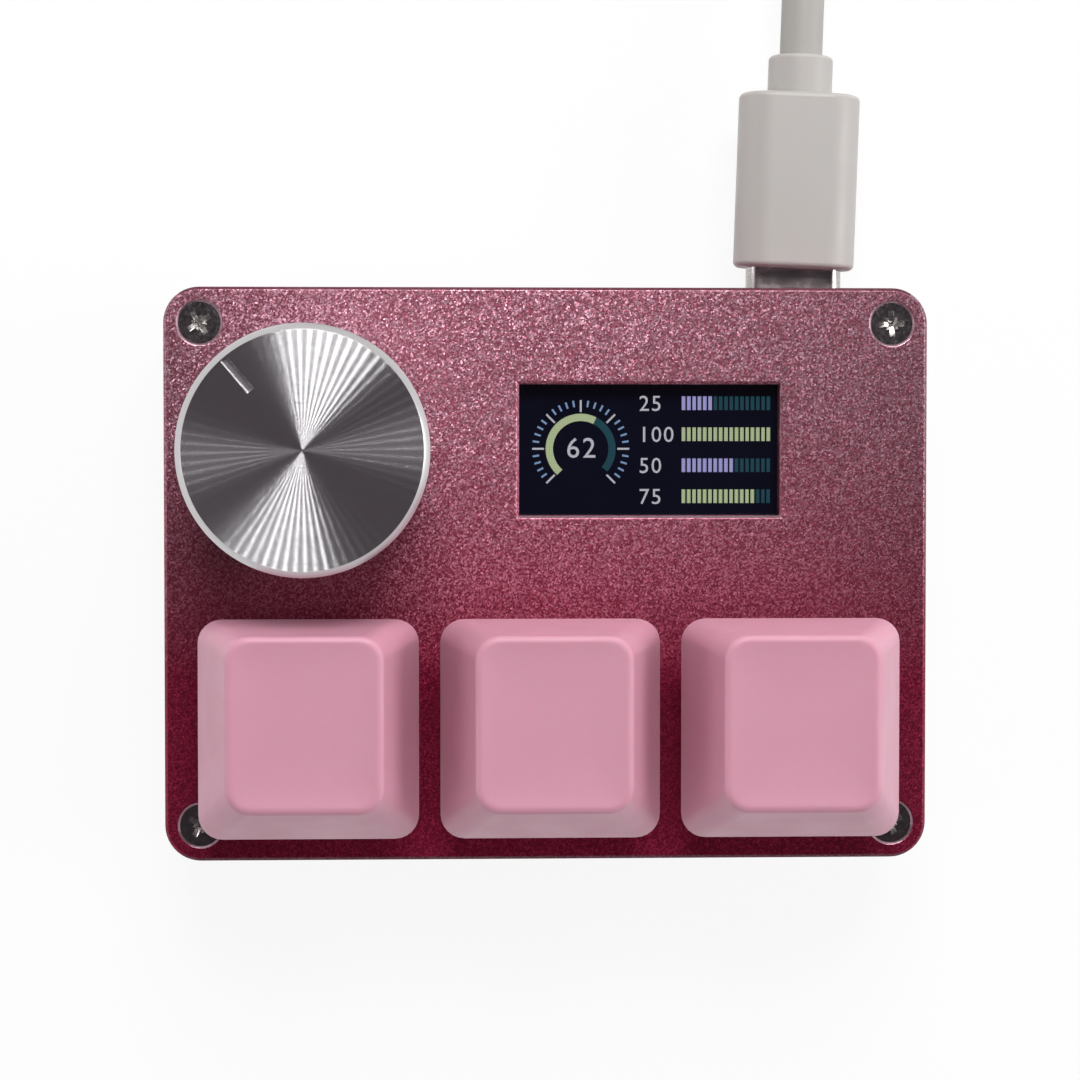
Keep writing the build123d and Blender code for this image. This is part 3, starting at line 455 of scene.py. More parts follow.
class Turning(SharedGroup):
    """Marks of a lathe tool round an upright axis: rings, and faint rays where the tool chattered.

    Over the first two numbers of ring_depth, a ray's height deepens the rings from the third to the fourth.
    """

    title = "turning"
    inputs = {
        "Vector": ("NodeSocketVector", None),
        "Centre": ("NodeSocketVector", (0.0, 0.0, 0.0)),
        "Pitch": ("NodeSocketFloat", 0.2),
        "Rays": ("NodeSocketFloat", 72.0),
        "Reach": ("NodeSocketFloat", 1000.0),
        "Ring Tilt": ("NodeSocketFloat", 0.2),
        "Ray Tilt": ("NodeSocketFloat", 0.06),
    }
    outputs = {"Rays": "NodeSocketFloat", "Marked": "NodeSocketVector"}
    wave_share = 0.3
    stripe_share = 0.2
    uneven_share = 0.5
    chatter_count = 18.0
    ring_depth = (0.3, 0.7, 0.1, 1.55)

    @classmethod
    def fill(cls, graph: Graph, given: bpy.types.Node, out: bpy.types.Node) -> None:
        """Adds the radius, the rings along it, the rays round it and the normal that both lean."""
        offset = graph.vector("SUBTRACT", given.outputs["Vector"], given.outputs["Centre"])
        flat = graph.vector("MULTIPLY", offset, (1.0, 1.0, 0.0))
        heading = graph.vector("NORMALIZE", flat)
        radius = graph.node("ShaderNodeVectorMath", {0: flat}, operation="LENGTH").outputs["Value"]
        along = graph.math("ADD", radius, graph.axes(offset)["Z"])
        rings = cls.rings(graph, graph.math("DIVIDE", along, given.outputs["Pitch"]))
        inside = graph.math("LESS_THAN", radius, given.outputs["Reach"])
        rays = cls.rays(graph, heading, given.outputs["Rays"], inside)
        graph.feed(out.inputs["Rays"], rays)
        upright = graph.upright()
        round_it = graph.node(
            "ShaderNodeVectorTransform",
            {0: graph.vector("CROSS_PRODUCT", (0.0, 0.0, 1.0), heading)},
            vector_type="VECTOR",
            convert_from="OBJECT",
            convert_to="WORLD",
        ).outputs[0]
        across = graph.vector("CROSS_PRODUCT", round_it, upright)
        depth = graph.math("MULTIPLY", given.outputs["Ring Tilt"], graph.between(rays, *cls.ring_depth))
        lean = cls.leaning(graph, across, rings, depth)
        sway = cls.leaning(graph, round_it, rays, given.outputs["Ray Tilt"])
        marked = graph.vector("ADD", graph.vector("ADD", upright, lean), sway)
        graph.feed(out.inputs["Marked"], graph.vector("NORMALIZE", marked))

    @classmethod
    def uneven(cls, graph: Graph, place: Socket, cell: float, detail: float) -> Socket:
        """Gives an uneven height about 0."""
        height = graph.math("SUBTRACT", graph.noise(place, cell, detail, 0.7), 0.5)
        return graph.math("MULTIPLY", height, cls.uneven_share)

    @classmethod
    def rings(cls, graph: Graph, phase: Socket) -> Socket:
        """Gives the height of the rings: an even wave with an uneven one on it."""
        wave = graph.math("SINE", graph.math("MULTIPLY", phase, 2 * math.pi))
        even = graph.math("ADD", graph.math("MULTIPLY", wave, cls.wave_share), 0.5)
        spot = graph.node("ShaderNodeCombineXYZ", {"X": phase}).outputs[0]
        return graph.math("ADD", even, cls.uneven(graph, spot, 1.6, 3.0))

    @classmethod
    def rays(cls, graph: Graph, heading: Socket, count: Socket, inside: Socket) -> Socket:
        """Gives the height of the rays: even stripes and the tool's chatter, within the reach."""
        axes = graph.axes(heading)
        turn = graph.math("ARCTAN2", axes["Y"], axes["X"])
        wave = graph.math("SINE", graph.math("MULTIPLY", turn, count))
        stripe = graph.math("MULTIPLY", wave, cls.stripe_share)
        chatter = cls.uneven(graph, graph.scaled(heading, cls.chatter_count), 1.0, 4.0)
        return graph.math("ADD", graph.math("MULTIPLY", graph.math("ADD", stripe, chatter), inside), 0.5)

    @staticmethod
    def leaning(graph: Graph, way: Socket, height: Socket, amount: Socket) -> Socket:
        """Gives the lean of a normal along one way, from a value about one half."""
        return graph.scaled(way, graph.math("MULTIPLY", graph.math("SUBTRACT", height, 0.5), amount))


# ---------------------------------------------------------------- finishes


class Texture(Enum):
    """How a finish varies over a surface."""

    BLASTED = "blasted metal, bare or dyed"
    MOULDED = "moulded plastic"
    TURNED = "turned metal"
    DRAWN = "drawn or rolled metal"
    WOVEN = "glass cloth under lacquer"
    SOFT = "rubber or foam"
    FILM = "printed film"


# Painted sheen and shade on a sealed, blasted finish: pale grains, a paler dye and more coat towards the
# back paint the lamp's highlight, and a darker colour towards the left and right paints its falloff. The
# spans are millimetres from the finish's centre.
PAINTED_SHEEN_SPAN = (-23.0, 0.0)
PAINTED_SIDE_SHADE_SPAN = (8.0, 36.0)
COAT_AT_FRONT = 0.25
PAINTED_SHEEN_ON_DYE = 0.2
DARK_GRAIN = 0.52


@dataclass(frozen=True)
class Finish:
    """One material of the keypad, with a procedural pattern on the piece's own coordinates."""

    name: str
    colour: Colour
    texture: Texture
    tint: Colour | None = None
    roughness: float = 0.5
    spread: float = 0.1
    metallic: float = 0.0
    cell: float = 0.4
    depth: float = 0.004
    coat: float = 0.0
    coat_roughness: float = 0.1
    coat_ior: float = 1.5
    tilt: float = 0.0
    # Painted light: the share of the back's painted sheen that is left at the front, and the brightness
    # left at the left and right edges, which is painted shade.
    painted_sheen: float = 1.0
    dim: float = 1.0
    specular: float = 0.5
    anisotropy: float = 0.0
    subsurface: float = 0.0
    centre: Point = (0.0, 0.0, 0.0)
    reach: float = 1000.0

    def material(self) -> bpy.types.Material:
        """Gives the material, and builds it the first time."""
        found = bpy.data.materials.get(self.name)
        if found:
            return found
        made = bpy.data.materials.new(self.name)
        graph = Graph.emptied(made)
        shader = graph.node(
            "ShaderNodeBsdfPrincipled",
            {
                "Metallic": self.metallic,
                "Coat Weight": self.coat,
                "Coat Roughness": self.coat_roughness,
                "Coat IOR": self.coat_ior,
                "Specular IOR Level": self.specular,
                "Anisotropic": self.anisotropy,
                "Anisotropic Rotation": 0.25 if self.anisotropy else 0.0,
                "Subsurface Weight": self.subsurface,
                "Subsurface Radius": (1.0, 0.45, 0.5),
                "Subsurface Scale": 1.2 * MM,
            },
        )
        graph.node("ShaderNodeOutputMaterial", {"Surface": shader.outputs[0]})
        made.diffuse_color = (*self.colour, 1.0)
        patterns = {
            Texture.BLASTED: self.blasted,
            Texture.MOULDED: self.moulded,
            Texture.TURNED: self.turned,
            Texture.DRAWN: self.drawn,
            Texture.WOVEN: self.woven,
            Texture.SOFT: self.soft,
            Texture.FILM: self.film,
        }
        patterns[self.texture](graph, shader, graph.millimetres())
        return made

    def second(self, factor: float = 0.82) -> Colour:
        """Gives the tint, or the colour made darker or paler by a factor."""
        return self.tint or tuple(part * factor for part in self.colour)

    def relief(self, graph: Graph, shader: bpy.types.Node, height: object, strength: float = 1.0) -> None:
        """Gives the surface its small relief from a height between 0 and 1."""
        inputs = {"Height": height, "Distance": self.depth * MM, "Strength": strength}
        graph.feed(shader.inputs["Normal"], graph.node("ShaderNodeBump", inputs).outputs[0])

    def gloss(
        self,
        graph: Graph,
        shader: bpy.types.Node,
        value: Socket,
        span: tuple[float, float],
        swing: tuple[float, float],
    ) -> None:
        """Lets the roughness follow a value.

        Args:
            graph: The material's nodes.
            shader: Its shader.
            value: What the roughness follows.
            span: The part of the value's range that counts.
            swing: What the roughness gains at the two ends of the span, in spreads.
        """
        low, high = (self.roughness + share * self.spread for share in swing)
        graph.feed(shader.inputs["Roughness"], graph.between(value, *span, low, high))

    def blasted(self, graph: Graph, shader: bpy.types.Node, place: Socket) -> None:
        """Bead-blasted metal: pale grains among dyed ones, each leaning its own way, under a seal, with
        painted sheen towards the back and, under a coat, painted shade towards the left and right.
        """
        grain = Grain.place(graph, Vector=place, Cell=self.cell, Patch=9.0, Tilt=self.tilt)
        sparkle = grain.outputs["Sparkle"]
        axes = graph.axes(graph.vector("SUBTRACT", place, self.centre))
        # Painted sheen: from the front to the back the pale grains, the coat and a paler dye grow, in place
        # of the lamp's highlight.
        painted_sheen = graph.between(axes["Y"], *PAINTED_SHEEN_SPAN, self.painted_sheen, 1.0)
        clouds = graph.between(grain.outputs["Broad"], 0.3, 0.7, 0.85, 1.0)
        pale = graph.math("MULTIPLY", graph.math("MULTIPLY", sparkle, clouds), painted_sheen)
        if self.coat:
            coat = graph.between(painted_sheen, 0.0, 1.0, self.coat * COAT_AT_FRONT, self.coat)
            graph.feed(shader.inputs["Coat Weight"], coat)
            # The dyed colour turns paler towards the back: painted sheen.
            dyed = graph.mix(graph.math("MULTIPLY", painted_sheen, PAINTED_SHEEN_ON_DYE), self.second(), self.colour)
            # Painted shade: the colour goes darker towards the left and right, where the lamp's highlight
            # falls off. Together with the darker grains' own tone, this mixes the colour towards black.
            side = graph.between(graph.math("ABSOLUTE", axes["X"]), *PAINTED_SIDE_SHADE_SPAN, 1.0, self.dim)
            lit = graph.math("MULTIPLY", side, graph.between(sparkle, 0.0, 1.0, DARK_GRAIN, 1.0))
            painted_shade_share = graph.math("SUBTRACT", 1.0, lit)
            tone = graph.mix(painted_shade_share, graph.mix(pale, dyed, self.colour), (0.0, 0.0, 0.0))
        else:
            tone = graph.mix(pale, self.second(), self.colour)
        graph.feed(shader.inputs["Base Color"], tone)
        graph.feed(shader.inputs["Metallic"], graph.between(pale, 0.0, 1.0, self.metallic, 1.0))
        self.gloss(graph, shader, grain.outputs["Fine"], (0.0, 1.0), (0.0, -1.0))
        graph.feed(shader.inputs["Normal"], grain.outputs["Facet"])

    def moulded(self, graph: Graph, shader: bpy.types.Node, place: Socket) -> None:
        """Moulded plastic: an even colour with faint clouds, a fine skin and marks in its gloss."""
        grain = Grain.place(graph, Vector=place, Cell=self.cell, Contrast=0.3, Patch=5.0)
        cloud = graph.between(grain.outputs["Broad"], 0.3, 0.7, 0.0, 0.35)
        graph.feed(shader.inputs["Base Color"], graph.mix(cloud, self.colour, self.second(0.93)))
        self.gloss(graph, shader, grain.outputs["Broad"], (0.35, 0.65), (-0.5, 0.5))
        self.relief(graph, shader, grain.outputs["Fine"], 0.5)

    def turned(self, graph: Graph, shader: bpy.types.Node, place: Socket) -> None:
        """Metal from the lathe: rings round the axis and rays across them."""
        marks = Turning.place(graph, Vector=place, Centre=self.centre, Pitch=self.cell, Reach=self.reach)
        graph.feed(marks.inputs["Ring Tilt"], self.tilt)
        span = (0.36, 0.64)
        rays = graph.between(marks.outputs["Rays"], *span)
        graph.feed(shader.inputs["Base Color"], graph.mix(rays, self.colour, self.second(0.9)))
        self.gloss(graph, shader, marks.outputs["Rays"], span, (-1.0, 1.0))
        tangent = graph.node("ShaderNodeTangent", direction_type="RADIAL", axis="Z")
        graph.feed(shader.inputs["Tangent"], tangent.outputs[0])
        graph.feed(shader.inputs["Normal"], marks.outputs["Marked"])

    def drawn(self, graph: Graph, shader: bpy.types.Node, place: Socket) -> None:
        """Rolled or drawn metal: long fine scratches along X, and dull patches."""
        lines = graph.noise(graph.vector("MULTIPLY", place, (0.12, 1.0, 1.0)), self.cell, 3.0, 0.6)
        grain = Grain.place(graph, Vector=place, Cell=self.cell, Contrast=0.3, Patch=2.5)
        tone = graph.mix(graph.between(lines, 0.35, 0.65), self.second(), self.colour)
        graph.feed(shader.inputs["Base Color"], tone)
        self.gloss(graph, shader, grain.outputs["Broad"], (0.35, 0.65), (-1.0, 1.0))
        self.relief(graph, shader, lines, 0.3)

    def woven(self, graph: Graph, shader: bpy.types.Node, place: Socket) -> None:
        """Board: a plain weave that shows faintly through the lacquer, and copper runs under it."""
        turns = graph.axes(graph.scaled(place, math.pi / self.cell))
        weave = graph.math("MULTIPLY", graph.math("SINE", turns["X"]), graph.math("SINE", turns["Y"]))
        runs = graph.noise(graph.vector("SNAP", place, (1.6, 0.5, 1.0)), 1.5, 0.0)
        copper = graph.between(runs, 0.5, 0.52, 0.0, 0.5)
        graph.feed(shader.inputs["Base Color"], graph.mix(copper, self.colour, self.second(1.3)))
        self.gloss(graph, shader, weave, (-1.0, 1.0), (0.0, 1.0))
        self.relief(graph, shader, graph.math("ADD", weave, copper), 0.4)

    def soft(self, graph: Graph, shader: bpy.types.Node, place: Socket) -> None:
        """Rubber or foam: pores and pale dust."""
        grain = Grain.place(graph, Vector=place, Cell=self.cell, Contrast=0.1, Patch=3.0)
        dust = graph.between(grain.outputs["Broad"], 0.45, 0.75, 0.0, 0.5)
        pores = graph.mix(grain.outputs["Fine"], self.second(0.7), self.colour)
        graph.feed(shader.inputs["Base Color"], graph.mix(dust, pores, self.second(1.25)))
        self.gloss(graph, shader, grain.outputs["Fine"], (0.0, 1.0), (0.0, 1.0))
        self.relief(graph, shader, grain.outputs["Fine"])

    def film(self, graph: Graph, shader: bpy.types.Node, place: Socket) -> None:
        """Flexible ribbon: straight copper runs side by side under amber film."""
        runs = graph.math("PINGPONG", graph.axes(place)["Y"], self.cell / 2)
        copper = graph.between(runs, self.cell * 0.2, self.cell * 0.28)
        graph.feed(shader.inputs["Base Color"], graph.mix(copper, self.colour, self.second()))
        self.gloss(graph, shader, copper, (0.0, 1.0), (0.0, -1.0))
        self.relief(graph, shader, copper)


FINISHES = {
    finish.name: finish
    for finish in (
        # The plate's finish paints sheen towards its back and shade towards its left and right, about its
        # centre.
        Finish(
            "plate_anodised", (0.73, 0.42, 0.53), Texture.BLASTED, tint=(0.44, 0.0095, 0.068),
            roughness=0.42, spread=0.06, metallic=0.5, cell=0.13, coat=0.35, coat_roughness=0.38,
            coat_ior=2.0, tilt=0.30, painted_sheen=0.04, dim=0.54, specular=0.1, centre=(-3.0, 14.0, 14.3),
        ),
        # The case's finish paints sheen towards its back, about its centre.
        Finish(
            "case_anodised", (0.62, 0.27, 0.38), Texture.BLASTED, tint=(0.25, 0.011, 0.046),
            roughness=0.42, spread=0.06, metallic=0.5, cell=0.13, coat=0.35, coat_roughness=0.38,
            coat_ior=2.0, tilt=0.28, painted_sheen=0.3, specular=0.2, centre=(-3.0, 14.0, 10.0),
        ),
        Finish(
            # A darker copy of the plate's finish: painted shade on its front and back edges, in place of
            # the light that their rounds catch.
            "plate_edge_painted_shade", (0.22, 0.09, 0.12), Texture.BLASTED, tint=(0.10, 0.02, 0.035), roughness=0.6,
            spread=0.06, cell=0.13, tilt=0.1, specular=0.2,
        ),
        Finish(
            "cut_metal", (0.46, 0.30, 0.35), Texture.BLASTED, roughness=0.42, spread=0.08, metallic=1.0,
            cell=0.2, tilt=0.1,
        ),
        # A brighter copy of the screw's steel for the cross recesses: painted highlight on top of the
        # glints that the lamps give there.
        Finish(
            "recess_steel_painted_highlight", (0.60, 0.57, 0.55), Texture.BLASTED, roughness=0.30, spread=0.06, metallic=1.0,
            cell=0.3, tilt=0.05,
        ),
        Finish(
            "screw_steel", (0.38, 0.345, 0.355), Texture.BLASTED, tint=(0.29, 0.26, 0.27), roughness=0.24,
            spread=0.06, metallic=1.0, cell=0.3, tilt=0.08,
        ),
        Finish(
            "foot_rubber", (0.020, 0.020, 0.021), Texture.SOFT, roughness=0.72, spread=0.15, cell=0.12,
            depth=0.01,
        ),
        Finish(
            "board_laminate", (0.010, 0.012, 0.014), Texture.WOVEN, tint=(0.03, 0.034, 0.034),
            roughness=0.35, cell=0.3, depth=0.01,
        ),
        Finish("chip_plastic", (0.020, 0.020, 0.022), Texture.MOULDED, roughness=0.55, cell=0.1),
        Finish("capacitor_ceramic", (0.36, 0.24, 0.14), Texture.MOULDED, roughness=0.4, cell=0.1),
        Finish(
            "crystal_can", (0.62, 0.62, 0.60), Texture.DRAWN, roughness=0.25, spread=0.08, metallic=1.0,
            cell=0.15,
        ),
        Finish(
            "socket_steel", (0.60, 0.60, 0.60), Texture.DRAWN, roughness=0.22, spread=0.08, metallic=1.0,
            cell=0.2,
        ),
        Finish("socket_plastic", (0.016, 0.016, 0.017), Texture.MOULDED, cell=0.15),
        Finish(
            "gasket_foam", (0.015, 0.015, 0.015), Texture.SOFT, roughness=0.9, spread=0.08, cell=0.1,
            depth=0.01,
        ),
        Finish(
            "screen_glass", (0.0022, 0.0026, 0.009), Texture.MOULDED, tint=(0.003, 0.0035, 0.012),
            roughness=0.12, spread=0.03, cell=0.2, depth=0.0003,
        ),
        Finish("backlight_plastic", (0.78, 0.78, 0.76), Texture.MOULDED, roughness=0.4, cell=0.2),
        Finish(
            "ribbon_film", (0.42, 0.20, 0.04), Texture.FILM, tint=(0.55, 0.30, 0.10), roughness=0.35,
            cell=0.5, depth=0.01,
        ),
        Finish(
            "pad_foam", (0.05, 0.05, 0.05), Texture.SOFT, roughness=0.9, spread=0.08, cell=0.25,
            depth=0.02,
        ),
        Finish(
            "plug_steel", (0.56, 0.54, 0.53), Texture.DRAWN, tint=(0.42, 0.40, 0.39), roughness=0.24,
            spread=0.08, metallic=1.0, cell=0.15,
        ),
        Finish("plug_core", (0.02, 0.02, 0.02), Texture.MOULDED, cell=0.15),
        Finish(
            "plug_white", (0.44, 0.42, 0.40), Texture.MOULDED, tint=(0.425, 0.40, 0.385), roughness=0.42,
            cell=0.12, depth=0.002, subsurface=0.15,
        ),
        Finish(
            "cord_white", (0.37, 0.355, 0.335), Texture.MOULDED, tint=(0.35, 0.335, 0.315), spread=0.12,
            cell=0.25, subsurface=0.1,
        ),
        Finish("tie_band", (0.60, 0.60, 0.59), Texture.MOULDED, roughness=0.6, cell=0.3, depth=0.01),
        Finish("switch_lower", (0.018, 0.018, 0.019), Texture.MOULDED, roughness=0.42, cell=0.2),
        Finish("switch_upper", (0.60, 0.60, 0.61), Texture.MOULDED, roughness=0.3, cell=0.2),
        Finish("switch_slider", (0.38, 0.028, 0.022), Texture.MOULDED, roughness=0.35, cell=0.15),
        Finish(
            "spring_steel", (0.52, 0.52, 0.52), Texture.DRAWN, roughness=0.3, spread=0.08, metallic=1.0,
            cell=0.1,
        ),
        Finish(
            "contact_copper", (0.72, 0.42, 0.22), Texture.DRAWN, roughness=0.3, spread=0.08, metallic=1.0,
            cell=0.2,
        ),
        Finish(
            "keycap_pink", (0.60, 0.285, 0.375), Texture.MOULDED, tint=(0.57, 0.262, 0.345),
            roughness=0.46, cell=0.16, depth=0.003, subsurface=0.25,
        ),
        Finish("encoder_plastic", (0.018, 0.018, 0.019), Texture.MOULDED, cell=0.2),
        Finish(
            "encoder_zinc", (0.50, 0.50, 0.51), Texture.BLASTED, tint=(0.40, 0.40, 0.41), roughness=0.42,
            metallic=1.0, cell=0.3,
        ),
        Finish(
            "encoder_sheet", (0.60, 0.60, 0.59), Texture.DRAWN, roughness=0.3, spread=0.08, metallic=1.0,
            cell=0.3,
        ),
        Finish(
            "shaft_metal", (0.62, 0.62, 0.62), Texture.TURNED, roughness=0.3, spread=0.05, metallic=1.0,
            cell=0.15, centre=KNOB_AXIS,
        ),
        Finish(
            "knob_metal", (0.80, 0.78, 0.80), Texture.TURNED, tint=(0.74, 0.72, 0.74), roughness=0.24,
            spread=0.01, metallic=1.0, cell=0.10, tilt=0.55, anisotropy=0.95, centre=KNOB_AXIS, reach=9.55,
        ),
        # A darker copy of the knob's metal: painted shade on the chamfer and in the pointer's groove.
        Finish(
            "knob_rim_painted_shade", (0.62, 0.60, 0.61), Texture.TURNED, roughness=0.32, spread=0.02, metallic=1.0,
            cell=0.10, tilt=0.1, centre=KNOB_AXIS, reach=0.0,
        ),
        Finish(
            "grub_steel", (0.05, 0.05, 0.052), Texture.DRAWN, roughness=0.35, spread=0.08, metallic=1.0,
            cell=0.1,
        ),
    )
}


def dress(
    piece: bpy.types.Object,
    finish: str,
    body: str,
    nodes: Sequence[str] = (),
    look: bpy.types.Material | None = None,
) -> bpy.types.Object:
    """Gives a new piece its finish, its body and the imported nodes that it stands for.

    Args:
        piece: The new piece.
        finish: Name of its finish, which is the record's slot too.
        body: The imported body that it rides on.
        nodes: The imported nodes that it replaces.
        look: Its material, where that isn't the finish's own.

    Returns:
        The same piece.
    """
    piece.data.materials.clear()
    piece.data.materials.append(look or FINISHES[finish].material())
    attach(piece, body)
    if nodes:
        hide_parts(*nodes)
    LOG.info("%s: %d faces, %s, on %s", piece.name, len(getattr(piece.data, "polygons", ())), finish, body)
    return piece


# ---------------------------------------------------------------- sub-assemblies


class PackedNodes:
    """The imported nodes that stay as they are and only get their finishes."""

    @staticmethod
    def build() -> None:
        """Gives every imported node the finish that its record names."""
        for plain in list(bpy.data.materials):
            bpy.data.materials.remove(plain)
        for node, slot in SLOTS.items():
            data = frame["nodes"][node].data
            data.materials.clear()
            data.materials.append(FINISHES[slot].material())


@dataclass
class Softened:
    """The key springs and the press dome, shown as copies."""

    edges: dict[str, float]

    def build(self) -> None:
        """Copies each node, softens it and dresses it with the finish of its node."""
        for node, edge in self.edges.items():
            dress(Bench.copy_of(node, f"{node}_finished", edge), SLOTS[node], BODIES[node], (node,))


@dataclass
class Flexed:
    """The key springs and the press dome, shown as copies that shorten as they are pressed."""

    spring: tuple[float, float] = (10.75, 18.65)
    key_travel: float = 4.0
    dome: tuple[float, float] = (9.7, 10.4)
    knob_travel: float = 0.5

    @staticmethod
    def shorten(node: str, joint: str, ends: tuple[float, float], travel: float) -> None:
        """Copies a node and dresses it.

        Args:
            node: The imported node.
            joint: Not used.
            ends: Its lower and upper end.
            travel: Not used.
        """
        low, high = ends
        piece = dress(Bench.copy_of(node, f"{node}_flexed", 0.0), SLOTS[node], "case", (node,))
        metres((0, 0, low))
        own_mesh(piece)

    def build(self) -> None:
        """Makes the three springs and the dome."""
        for side in SIDES:
            self.shorten(f"switch_spring_{side}", f"key_{side}_press", self.spring, self.key_travel)
        self.shorten("press_dome", "knob_press", self.dome, self.knob_travel)


@dataclass
class TopPlate:
    """The plate, bare on its countersinks and its window's front edge, with painted shade on its front and
    back edges.

    The window has its left, right and front. A face is slanted where its normal's Z is within slant.
    """

    ring: float = 2.3
    top: float = 14.3
    window: tuple[float, float, float] = (-2.35, 19.55, 4.9)
    front_edge: float = 0.2
    edge: float = 0.05
    half_depth: float = 24.0
    painted_shade_zone: float = 0.5
    slant: tuple[float, float] = (0.2, 0.97)

    def along_window(self, point: Vector, spare: float) -> bool:
        """Says whether a point lies on the window's front edge."""
        left, right, front = self.window
        beside = left - spare < point.x < right + spare
        return beside and abs(point.y - front) < spare and abs(point.z - self.top) < spare

    def finish_at(self, middle: Vector, normal: Vector) -> int:
        """Chooses a face's finish: only slanted faces have another than the plate's own.

        Args:
            middle: The face's middle, in millimetres.
            normal: Its normal.

        Returns:
            0 for the plate's own finish, 1 for bare metal and 2 for the front and back edges, whose darker
            finish is painted shade.
        """
        if not self.slant[0] < normal.z < self.slant[1]:
            return 0
        near = min(math.hypot(middle.x - x, middle.y - y) for x, y in SCREW_PLACES) < self.ring
        if near or self.along_window(middle, self.front_edge):
            return 1
        # Slanted faces along the front and back edges get the darker finish: painted shade.
        return 2 if abs(middle.y) > self.half_depth - self.painted_shade_zone else 0

    def build(self) -> None:
        """Softens the plate's edges, cuts the window's front edge and bares the metal there."""
        plate = Bench.copy_of("top_plate", "top_plate_finished", 0.0)
        Bench.edges(plate, lambda a, b: self.along_window(a, 0.02) and self.along_window(b, 0.02))
        Bench.round_selected(self.front_edge, 1)
        dress(Bench.smooth(plate, self.edge), "plate_anodised", "case", ("top_plate",))
        plate.data.materials.append(FINISHES["cut_metal"].material())
        # The third finish is the painted shade of the front and back edges.
        plate.data.materials.append(FINISHES["plate_edge_painted_shade"].material())
        for face in plate.data.polygons:
            face.material_index = self.finish_at(face.center / MM, face.normal)


@dataclass
class Keycaps:
    """Three blank keycaps: four slopes, rounded corners and a shallow dish, hollow below.

    The cross has the length, width and depth of its arms. Each step of the dish has its share of the size
    of the one before, and its change in height.
    """

    pitch: float = 19.75
    row: float = -12.4
    base: float = 18.0
    low: float = 20.1
    height: float = 8.4
    top: tuple[float, float] = (12.4, 14.0)
    shift: float = 1.1
    corner: float = 1.9
    rim: float = 0.4
    wall: float = 1.3
    roof: float = 1.9
    post: float = 2.75
    post_low: float = 20.7
    cross: Point = (4.06, 1.26, 4.1)
    rib: Point = (3.6, 0.8, 1.5)
    rib_out: float = 1.6
    sunk: float = 0.3
    dish: tuple[tuple[float, float], ...] = (
        (0.98, 0.0),
        (0.965, -0.035),
        (0.93, -0.06),
        (0.86, -0.08),
        (0.7, -0.07),
        (0.5, -0.04),
    )

    def shape(self) -> bpy.types.Object:
        """Models one cap about the upright axis of its switch."""
        high = self.low + self.height
        size = (self.base, self.base, self.height)
        cap = Bench.box("keycap_form", size, (0, 0, self.low + self.height / 2))
        self.taper(cap, lambda mid, normal: normal.z > 0.9, self.top, self.shift)
        Bench.edges(cap, lambda a, b: abs(a.z - b.z) > 1.0)
        Bench.round_selected(self.corner, 6)
        Bench.edges(cap, lambda a, b: a.z > high - 0.01 and b.z > high - 0.01)
        Bench.round_selected(self.rim, 4)
        Bench.faces(cap, lambda mid, normal: normal.z > 0.99 and mid.z > high - 0.01)
        for share, drop in self.dish:
            bpy.ops.mesh.extrude_region_move(TRANSFORM_OT_translate={"value": (0, 0, drop * MM)})
            bpy.ops.transform.resize(value=(share, share, 1), center_override=metres((0, self.shift, high)))
        bpy.ops.object.mode_set(mode="OBJECT")
        self.hollow(cap)
        return Bench.smooth(self.with_post(cap), 0.0, 40)

    @staticmethod
    def taper(
        piece: bpy.types.Object,
        wanted: Callable[[Vector, Vector], bool],
        size: tuple[float, float],
        shift: float,
    ) -> None:
        """Brings one face of a piece to a size and shifts it along Y.

        Args:
            piece: The piece.
            wanted: Which face, by its middle and normal.
            size: Its new width and depth.
            shift: How far it moves towards the back.
        """
        Bench.faces(piece, wanted)
        mesh = bmesh.from_edit_mesh(piece.data)
        corners = [v.co for v in mesh.verts if v.select]
        width = (max(c.x for c in corners) - min(c.x for c in corners)) / MM
        depth = (max(c.y for c in corners) - min(c.y for c in corners)) / MM
        middle = sum(corners, Vector()) / len(corners)
        bpy.ops.transform.resize(value=(size[0] / width, size[1] / depth, 1), center_override=middle)
        bpy.ops.transform.translate(value=(0, shift * MM, 0))
        bpy.ops.object.mode_set(mode="OBJECT")

    def hollow(self, cap: bpy.types.Object) -> None:
        """Takes out the inside, which follows the slopes."""
        rise = self.height - self.roof
        inner = self.base - 2 * self.wall
        share = rise / self.height
        size = (inner - (self.base - self.top[0]) * share, inner - (self.base - self.top[1]) * share)
        core = Bench.box("keycap_core", (inner, inner, rise + 1), (0, 0, self.low + (rise - 1) / 2))
        self.taper(core, lambda mid, normal: normal.z > 0.9, size, self.shift * share)
        Bench.cut(cap, core)

    def with_post(self, cap: bpy.types.Object) -> bpy.types.Object:
        """Adds the post with its cross socket under the roof, and two ribs beside it."""
        ceiling = self.low + self.height - self.roof + self.sunk
        post = Bench.drum("keycap_post", self.post, ((0, 0, self.post_low), (0, 0, ceiling)), 48)
        long, bar, deep = self.cross
        for name, width, depth in (("cross_x", long, bar), ("cross_y", bar, long)):
            Bench.cut(post, Bench.box(name, (width, depth, 2 * deep), (0, 0, self.post_low)))
        out, middle = self.post + self.rib_out, ceiling - self.rib[2] / 2
        ribs = [Bench.box(f"keycap_rib_{way}", self.rib, (way * out, 0, middle)) for way in (-1, 1)]
        return Bench.join("keycap_form", [cap, post, *ribs])

    def build(self) -> None:
        """Models one cap and copies it onto the three switches."""
        first = self.shape()
        for column, side in enumerate(SIDES, -1):
            cap = Bench.moved(first, f"cap_{side}", (column * self.pitch, self.row, 0))
            dress(cap, "keycap_pink", f"key_{side}", (f"keycap_{side}",))
        bpy.data.objects.remove(first)


